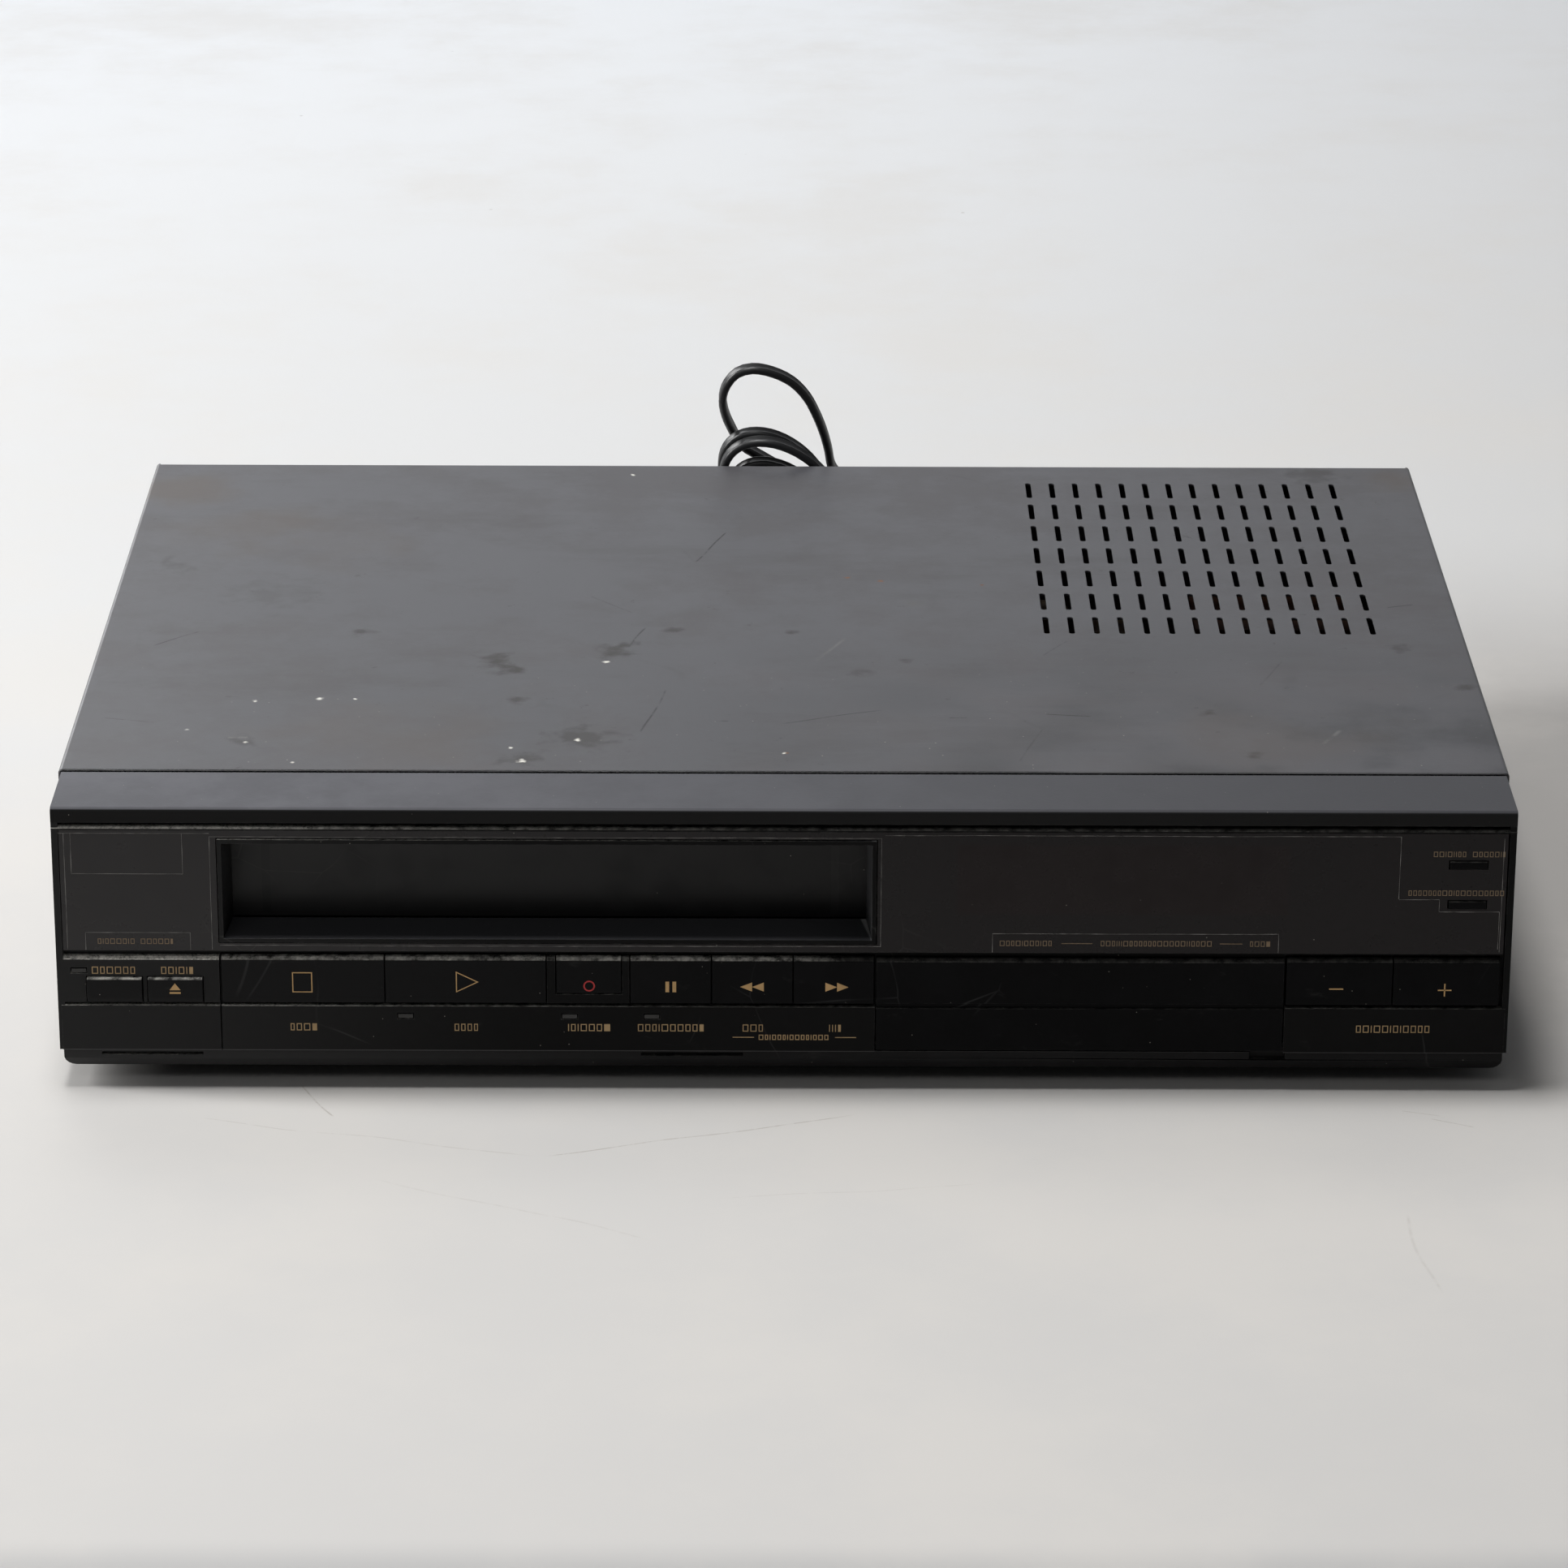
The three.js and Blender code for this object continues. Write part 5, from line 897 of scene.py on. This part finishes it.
def film_edge(start, end):
    """A ribbon along a straight run: its width wanders between 0.04 and 0.16 mm."""
    start, end = np.asarray(start, float), np.asarray(end, float)
    length = np.linalg.norm(end - start)
    along = (end - start) / length
    across = np.array([-along[1], along[0]])
    t = np.linspace(0, length, max(3, int(length / 2)))
    width = (0.02 + 0.06 * rng.random(len(t)) ** 2)[:, None]
    drift = np.cumsum(rng.normal(0, 0.015, len(t)))
    centre = start + t[:, None] * along + (drift - drift.mean())[:, None] * across
    low, high = centre - width * across, centre + width * across
    near, far = FILM_NEAR, FILM_NEAR + FILM_THICKNESS
    edges = ((low, near), (high, near), (high, far), (low, far))
    return lofted(np.stack([upright(*edge) for edge in edges], 1))


def add_film():
    runs = [run for line in FILM_LINES for run in zip(line, line[1:])]
    add_print("window_film_edges", [film_edge(*run) for run in runs], "film_edge")


# Mains lead: one flat twin lead from the strain relief, over an arch, through the stored hank to the plug
LEAD = {"lobe": 1.45, "spread": 1.15, "groove": 0.95}
LEAD_TURNS = 12, 80  # where the wide side begins to turn, and over what length
RELIEF_PLACE = (52, 0, 30)
SLEEVE = {"start": 335.8, "length": 23, "radius": 5.3, "taper": 1.9, "ribs": 6, "rib": 0.45}
TIE = {"above": 27, "reach": 4, "slack": 2.4, "clear": 1.0, "corner": 2.6}
HANK = {"centre": -4.0, "lean": math.radians(13), "inner": 15.8, "pitch": 3.6, "gap": 0.6, "turns": 5,
        "run": 46.0, "arc_steps": 8, "run_steps": 4, "first": 2, "clear": 0.6, "width": 5.2, "thickness": 2.7,
        "slope": 0.4}
HEADS = [(0, 0, 0), (2, 9.4, -3), (2, -4, -3), (3, -8, -2.2), (3, 2, -2.6), (3.6, 7, -3)]  # aside, up, wider
LEAN_SIN, LEAN_COS = math.sin(HANK["lean"]), math.cos(HANK["lean"])
ARCH = [
    (52, 359.1, 30), (52, 366.5, 30.2), (51.4, 375.5, 33), (48.8, 381, 40.6), (43.4, 380.4, 50.2),
    (35, 375, 60), (27, 367.4, 69.6), (20.9, 360, 77), (17.1, 354, 83.7), (15.8, 350.5, 91.2),
    (14, 347.5, 98.5), (11.5, 344.5, 105.7), (8.1, 342, 112.8), (3, 340, 118.8), (-3.7, 338.6, 122.6),
    (-10.8, 337.8, 124.1), (-16.1, 337.8, 122.5), (-19.5, 338.6, 118.4), (-21.1, 342, 112.2),
    (-20.3, 346.5, 105.3), (-18.2, 350.6, 98.9), (-14.6, 354, 91.6), (-6.6, 357, 85.6), (2.6, 358.4, 79.4),
    (11, 358, 72.4), (17.2, 355.6, 64.6), (20, 353, 55.6),
]
TAIL = [
    (20.4, 351.6, 13.4), (16.4, 350, 6.8), (8.6, 349, 2.8), (-3, 348.6, 1.9), (-24, 349, 1.9),
    (-44, 350.6, 1.9), (-60, 352.4, 1.9), (-71, 353.6, 3), (-81, 354.2, 5.6), (-89, 354.4, 6.85),
    (-96, 354.4, 6.85),
]


def leaning(x, up, back):
    """A place at x in the hank's plane, which leans on the cover's back edge, or back from that plane."""
    x, up, back = np.broadcast_arrays(x, up, back)
    half = HANK["width"] / 2
    foot = COVER["rear"] + HANK["clear"] + half / LEAN_COS + COVER["top"] * math.tan(HANK["lean"])
    return np.stack([x, foot - up * LEAN_SIN + back * LEAN_COS, (back + half) * LEAN_SIN + up * LEAN_COS], -1)


def hank_line(per_step=3):
    """Down the right, round the foot, up the left and round the head, five times: the radius falls at a
    steady rate to half the turns and grows again, and the layer changes along one run between. Each head
    slopes down to the right and has its own shift and width."""
    h = HANK
    arc, run = h["arc_steps"], h["run_steps"]
    turn = 2 * (arc + run)
    last = h["turns"] * turn + run
    i = np.linspace(h["first"], last, (last - h["first"]) * per_step + 1)
    within = i % turn

    def share(done, start, steps):
        return np.clip((done - start) / steps, 0, 1)

    down, foot = share(within, 0, run), share(within, run, arc)
    rise, head = share(within, run + arc, run), share(within, 2 * run + arc, arc)
    crossed = share(i, h["turns"] // 2 * turn + run + arc, run)
    angle = -np.pi * (foot + head)
    floor = h["inner"] + h["pitch"] * (h["turns"] - 1) / 2 + h["thickness"] / 2 + 0.3
    aside, lift, wider = np.array(HEADS, float)[(i // turn).astype(int) + (within > run)].T
    up = 1 - down + rise
    eased = smooth_step(up)
    radius = h["inner"] + h["pitch"] * np.abs(i / turn - h["turns"] / 2) + wider * eased
    u = radius * np.cos(angle) + aside * eased
    v = floor + up * (h["run"] + lift - h["slope"] * radius * np.cos(angle)) + radius * np.sin(angle)
    return leaning(h["centre"] + u, v, (h["width"] + h["gap"]) * (1 - crossed))


def through(points, step=2.5):
    """A centripetal Catmull-Rom curve through the points, one sample every step millimetres."""
    points = np.asarray(points, float)
    padded = np.concatenate([[2 * points[0] - points[1]], points, [2 * points[-1] - points[-2]]])
    out = []
    for p in zip(padded, padded[1:], padded[2:], padded[3:]):
        gaps = [np.linalg.norm(after - before) for before, after in zip(p, p[1:])]
        knots = np.cumsum([0.0, *np.sqrt(gaps)])
        t = np.linspace(knots[1], knots[2], max(1, round(gaps[1] / step)), endpoint=False)[:, None]

        def blend(a, b, start, end):
            start, end = knots[start], knots[end]
            return (end - t) / (end - start) * a + (t - start) / (end - start) * b

        first, second, third = (blend(p[k], p[k + 1], k, k + 1) for k in range(3))
        out.append(blend(blend(first, second, 0, 2), blend(second, third, 1, 3), 1, 2))
    return np.concatenate([*out, points[-1:]])


def lead_section():
    """Two round lobes side by side with a shallow groove between, as (thin way, wide way) offsets."""
    r, s, g = LEAD["lobe"], LEAD["spread"], LEAD["groove"]
    angle = np.linspace(-0.42 * np.pi, 0.42 * np.pi, 9)
    far = np.stack([r * np.sin(angle), s + r * np.cos(angle)], 1)
    return np.concatenate([far, [[g, 0]], -far, [[-g, 0]]])


def add_lead(hank):
    """The lead's wide side lies across at the strain relief and along the depth from the arch on."""
    line = np.concatenate([through([*ARCH, hank[0]])[:-1], hank, through([hank[-1], *TAIL])[1:]])
    along = np.concatenate([[0], np.cumsum(np.linalg.norm(np.diff(line, axis=0), axis=1))])
    tangent = unit(np.gradient(line, along, axis=0))
    turn = np.clip((along - LEAD_TURNS[0]) / LEAD_TURNS[1], 0, 1)[:, None]
    wide = (1 - turn) * np.array([1.0, 0, 0]) + turn * np.array([0, LEAN_COS, LEAN_SIN])
    wide = unit(wide - np.sum(wide * tangent, 1)[:, None] * tangent)
    shape = carried(lead_section(), line, np.cross(wide, tangent), wide)
    lead = add_piece("mains_lead", shape, "lead_jacket",
                     node=("power_cord", "cord_hank", "cord_tail"))
    return lead, metres(line), along[-1] / 1000


def add_relief():
    """A tapered sleeve with ribs: the radius falls steadily and dips between the ribs."""
    s = SLEEVE
    t = np.linspace(0, 1, 61)
    ribs = s["rib"] * (np.cos(t * 2 * np.pi * s["ribs"]) > 0.2)
    sleeve = np.stack([s["radius"] - s["taper"] * t - s["rib"] + ribs, s["start"] + s["length"] * t], 1)
    profile = [(0.5, 329.5), (7.6, 329.5), (8, 329.9), (8, 331.2), (7.7, 331.6), (6, 331.7), (6, 333.3),
               (7.2, 333.4), (7.6, 333.9), (7.6, 335.2), (7.1, 335.8), *sleeve.tolist(), (2.9, 358.8),
               (0.5, 358.8)]
    return add_piece("lead_strain_relief", turned(profile[::-1], RELIEF_PLACE, "y", 40), "soft_rubber",
                     node="strain_relief")


PLUG_Y, PLUG_Z, PIN_ASIDE = 354.4, 6.85, 9.3
PLUG_SECTIONS = np.array([  # x, half depth, half height
    (-96.4, 2.2, 2.0), (-97.2, 3.2, 3.0), (-100, 3.6, 3.3), (-104, 4.2, 3.6), (-107.5, 6.0, 4.2),
    (-110.5, 10.5, 5.2), (-113.5, 14.6, 6.1), (-118, 16.9, 6.7), (-126, 17.4, 6.8), (-134, 17.0, 6.7),
    (-138.5, 15.8, 6.0), (-139.1, 14.6, 5.2), (-139.3, 13.0, 4.2),
])
PIN = [(0.3, -139.0), (2.0, -139.0), (2.0, -156.5), (1.9, -157.4), (1.3, -158.2), (0.3, -158.2)]


def add_plug():
    """A flat two-pin plug: rounded oval sections along x that swell from the lead to the shoulders."""
    across, up = (np.sign(c) * np.abs(c) ** 0.62 for c in circle(48))
    x, half_y, half_z = (column[:, None] for column in PLUG_SECTIONS.T)
    body = lofted(np.stack([x + 0 * across, PLUG_Y + half_y * across, PLUG_Z + half_z * up], -1))
    plug = add_piece("mains_plug", body, "lead_jacket", node="power_plug")
    pins = [turned(PIN, (0, PLUG_Y + side * PIN_ASIDE, PLUG_Z), "x", 20) for side in (-1, 1)]
    return plug, add_piece("mains_plug_pins", merged(*pins), "polished_steel")


def add_tie(hank):
    """A strap round the stored hank's waist: a rounded box carried round all its strands, and its lock."""
    h, corner = HANK, TIE["corner"]
    waist = h["inner"] + h["pitch"] * (h["turns"] - 1) / 2 + TIE["above"]
    up = np.array([0.0, -LEAN_SIN, LEAN_COS])
    u = hank[np.abs((hank - leaning(0, waist, 0)) @ up) < TIE["reach"], 0]
    left, right = u.min() - TIE["slack"], u.max() + TIE["slack"]
    front, back = -h["width"] / 2 - TIE["clear"], 1.5 * h["width"] + h["gap"] + TIE["clear"]
    angle = np.linspace(0, np.pi / 2, 7)
    path = []
    for k, (a, b) in enumerate(((right, back), (left, back), (left, front), (right, front))):
        centre = np.array([a - corner * np.sign(a - h["centre"]), b - corner * (1 if b > 0 else -1)])
        turn = angle + k * np.pi / 2
        path.append(centre + corner * np.stack([np.cos(turn), np.sin(turn)], 1))
    path = np.concatenate([*path, path[0][:1]])
    out = unit(np.gradient(path, axis=0))[:, ::-1] * (1, -1)

    def placed(places):
        return leaning(places[:, 0], waist, places[:, 1])

    centres = placed(path)
    outward = placed(path + out) - centres
    strap = [[-0.45, -2.2], [0.45, -2.2], [0.55, 0], [0.45, 2.2], [-0.45, 2.2], [-0.55, 0]]
    lock = np.array([[-0.6, -3.2], [2.2, -3.0], [2.6, 0], [2.2, 3.0], [-0.6, 3.2]])
    steps = placed(np.stack([h["centre"] + np.array([-3.2, -2.8, 2.8, 3.2]), np.full(4, back)], 1))
    sizes = np.array([0.8, 1, 1, 0.8])[:, None, None]
    block = steps[:, None] + sizes * (lock[:, :1] * [0, LEAN_COS, LEAN_SIN] + lock[:, 1:] * up)
    shape = merged(carried(strap, centres, outward, np.tile(up, (len(path), 1))), lofted(block[::-1]))
    return add_piece("lead_tie", shape, "soft_rubber")


# Small parts of the case
def node_place(node):
    """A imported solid's lowest and highest corner and their middle, in millimetres from the front face."""
    low, high = (np.array(corner) * 1000 - (0, FRONT_TO_FRAME, 0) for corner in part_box(node))
    return low, high, (low + high) / 2


def smooth_step(value):
    value = np.clip(value, 0, 1)
    return value * value * (3 - 2 * value)


def screw_shape(centre, direction, side, radius=4.0, height=1.8, shank=2.0, length=6.0, around=48):
    """A domed head on a shank, turned round its direction; a cross is pressed in where the lesser of the
    two distances across is small and the greater one is within the arms' reach."""
    inner = np.linspace(0.78, 0.02, 14)
    profile = np.array([(shank, -length), (shank, 0), (radius - 0.15, 0), (radius, 0.15),
                        (radius, 0.5 * height), (0.95 * radius, 0.75 * height), (0.86 * radius, 0.9 * height),
                        *((radius * s, height * (1 - 0.12 * s * s)) for s in inner)])
    a, b = (profile[:, :1] * turn for turn in circle(around))
    least, most = np.minimum(abs(a), abs(b)), np.maximum(abs(a), abs(b))
    pressed = smooth_step((0.17 * radius - least) / 0.3) * smooth_step((0.58 * radius - most) / 0.4)
    along = profile[:, 1:] - 0.6 * height * pressed * (profile[:, 1:] > 0.6 * height)
    direction, side = np.array(direction, float), np.array(side, float)
    rings = a[..., None] * side + b[..., None] * np.cross(direction, side) + along[..., None] * direction
    return lofted((rings + np.array(centre, float))[::-1])


COVER_SCREW_HEIGHT = 1.8
REAR_SCREWS = [(-190, 334.4, 85), (-62, 334.4, 85), (76, 334.4, 85), (190, 334.4, 85), (-150, 333.1, 42),
               (120, 333.1, 20), (206, 333.1, 20), (-212, 333.1, 66)]


def add_screws():
    for side, word in ((-1, "left"), (1, "right")):
        for end in ("front", "rear"):
            node = f"cover_screw_{word}_{end}"
            low, high, middle = node_place(node)
            under = high[0] - COVER_SCREW_HEIGHT if side > 0 else low[0] + COVER_SCREW_HEIGHT
            shape = screw_shape((under, *middle[1:]), (side, 0, 0), (0, 1, 0), height=COVER_SCREW_HEIGHT)
            add_piece(f"{word}_{end}_cover_screw", shape, "black_screw", node=node)
    shapes = [screw_shape(place, (0, 1, 0), (0, 0, 1), 3.0, 1.5, 1.4, 4.0, 40) for place in REAR_SCREWS]
    add_piece("rear_panel_screws", merged(*shapes), "black_screw")


FOOT_UNDERSIDE = [(13, 2.2), (12.8, 1.5), (12.2, 0.7), (11.5, 0.15), (11, 0), (9.4, 0), (9.2, 0.5),
                  (8.4, 0.5), (8.2, 0), (4.6, 0), (4.3, 0.3), (4.2, 3.4), (0.4, 3.4)]


def add_feet():
    """A foot turned round its axis: a rounded rim, a ring groove and a screw well in its underside."""
    for row in ("front", "rear"):
        for word in ("left", "right"):
            node = f"foot_{row}_{word}"
            _, high, middle = node_place(node)
            profile = [(0.4, high[2]), (13, high[2]), *FOOT_UNDERSIDE]
            foot = turned(profile, (*middle[:2], 0), "z", 56)
            add_piece(f"{row}_{word}_foot", foot, "soft_rubber", node=node)


AERIAL_SOCKETS = [(-195, 0, 25), (-195, 0, 47)]
COLLAR = [(5.8, 333.15), (8.4, 333.15), (8.6, 333.4), (8.6, 334.4), (8.3, 334.7), (6.3, 334.8),
          *((6.0 + 0.22 * (k % 2), 336.0 + 0.45 * k) for k in range(13)),
          (6.1, 341.9), (5.8, 342.15), (5.5, 342.1)]
INSULATOR = [(1.7, 342.0), (4.6, 342.0), (4.6, 342.22), (4.3, 342.32), (2.0, 342.32)]


def add_sockets():
    """Knurled collars and insulators on the aerial sockets; a tongue and its contacts in the other."""
    for piece, profile, finish in (
        ("collars", COLLAR, "polished_steel"), ("insulators", INSULATOR, "white_plastic"),
    ):
        rings = [washer(profile, place) for place in AERIAL_SOCKETS]
        add_piece(f"aerial_socket_{piece}", merged(*rings), finish)
    tongue = bar((-107, 325.9, 27.2), (-67, 334.2, 30.8))
    add_piece("av_socket_tongue", tongue, "soft_rubber", smooth=False)
    contacts = [bar((x, 326.3, z), (x + 1.3, 333.9, z + 0.3))
                for z, first in ((30.7, -105.6), (27.0, -103.7)) for x in np.arange(first, -68.6, 3.8)]
    add_piece("av_socket_contacts", merged(*contacts), "polished_steel", smooth=False)


# Stage: floor that rises into the backdrop, lamps and world
STAGE = {"near": -3.5, "bend": 1.7, "radius": 1.0, "half": 4.0, "height": 3.2}
PAPER_SCRATCH = (0.38, 0.35, 0.32)
FLOOR_SCRATCHES = [
    ((-75, -48), (23, -16), 0.5, 0.8), ((-175, -24), (-75, -48), 0.5, 0.4),
    ((-118, -66), (-40, -108), 0.7, 0.25), ((-144, 3), (-132, -21), 0.5, 0.8),
    ((192, -18), (206, -24), 0.5, 0.6), ((180, -86), (184, -140), 0.8, 0.25),
    ((236, -60), (252, -130), 0.7, 0.25), ((-20, -78), (60, -66), 0.4, 0.25),
    ((184, -12), (196, -16), 0.5, 0.5),
]


def studio_paper(name):
    """Paper that is darker and warmer at the front and paler and cooler towards the backdrop, as painted
    light, with painted shade towards the right and a painted shadow on the floor right of the machine, cloudy
    marks, a few specks and hairlines on the floor."""
    f = Finish(name, (0.585, 0.572, 0.556), 0.75, specular=0.15)
    x, y, _ = f.parts(f.place)
    # Painted light: darker at the front, paler and cooler towards the backdrop
    f.over(f.between(y, -0.12, 0.30), (0.64, 0.64, 0.638))
    f.over(f.between(y, 0.25, 1.7), (0.91, 0.935, 0.97))
    # Painted shade: darker towards the right
    f.over(f.times(f.between(x, -0.05, 0.5), 0.3), (0.52, 0.50, 0.48))
    f.over(f.between(y, -0.455, -0.475), (0.46, 0.455, 0.45))
    # Painted shadow on the floor to the right of the machine
    right = f.times(f.between(x, 0.20, 0.26), f.between(y, -0.22, -0.08))
    f.over(f.times(right, f.between(y, 0.38, 0.14, 0.0, 0.7)), (0.37, 0.35, 0.33))
    f.over(f.times(f.effect(smudges, Scale=2.2), 0.35), (0.66, 0.63, 0.59), 0.8)
    f.over(f.effect(specks, Scale=60.0, Size=0.08, Share=0.01), (0.45, 0.44, 0.42))
    for start, end, width, share in FLOOR_SCRATCHES:
        lay_line(f, start, end, 0, width / 1000, share, colour=PAPER_SCRATCH)
    f.done()


def add_stage():
    """A sheet that is floor up to the bend, then a quarter circle, then a wall."""
    bend, radius = STAGE["bend"], STAGE["radius"]
    cos, sin = circle(17, np.pi / 2, closed=True)
    arc = np.stack([bend + radius * sin, radius - radius * cos], 1)
    profile = np.concatenate([[[STAGE["near"], 0.0]], arc, [[bend + radius, STAGE["height"]]]])
    rings = np.stack([np.insert(profile, 0, x, axis=1) for x in (-STAGE["half"], STAGE["half"])])
    studio_paper("studio_paper")
    mesh_object("studio_sheet", *sheet(rings, turned_over=True), finishes["studio_paper"])


def add_lamp(name, place, target, size, watts):
    data = bpy.data.lights.new(name, "AREA")
    data.shape = "RECTANGLE"
    data.size, data.size_y = size
    data.energy = watts
    lamp = bpy.data.objects.new(name, data)
    scene.collection.objects.link(lamp)
    lamp.location = place
    lamp.rotation_mode = "QUATERNION"
    lamp.rotation_quaternion = (Vector(target) - lamp.location).to_track_quat("-Z", "Y")
    return lamp


def light_scene():
    scene.view_settings.view_transform = "Standard"
    world = bpy.data.worlds.new("studio_air")
    scene.world = world
    world.use_nodes = True
    air = world.node_tree.nodes["Background"].inputs
    air["Color"].default_value = (0.92, 0.96, 1.0, 1)
    air["Strength"].default_value = 0.06
    add_lamp("window_light", (-1.9, -0.03, 1.1), (0, 0, 0.05), (0.45, 1.5), 40)
    add_lamp("ceiling_light", (-0.3, -0.09, 2.4), (0, 0, 0), (0.6, 0.6), 34)
    room = add_lamp("room_light", (-0.4, 1.7, 2.4), (0, 1.2, 0), (1.2, 1.2), 15)
    room.visible_glossy = False
    add_lamp("front_light", (-0.4, -1.9, 1.9), (0, 0, 0), (2.0, 0.8), 5)
    sheen = add_lamp("backdrop_light", (-1.5, 2.1, 1.15), (-0.1, 0.1, 0.08), (1.6, 1.2), 30)
    sheen.visible_diffuse = False
    sheen.visible_camera = False


add_camera()
add_stage()
light_scene()
dress_nodes()
add_cover()
add_marks()
add_film()
add_screws()
add_feet()
add_sockets()
hank = hank_line()
relief = add_relief()
plug, pins = add_plug()
lead, lead_path, lead_length = add_lead(hank)
tie = add_tie(hank)
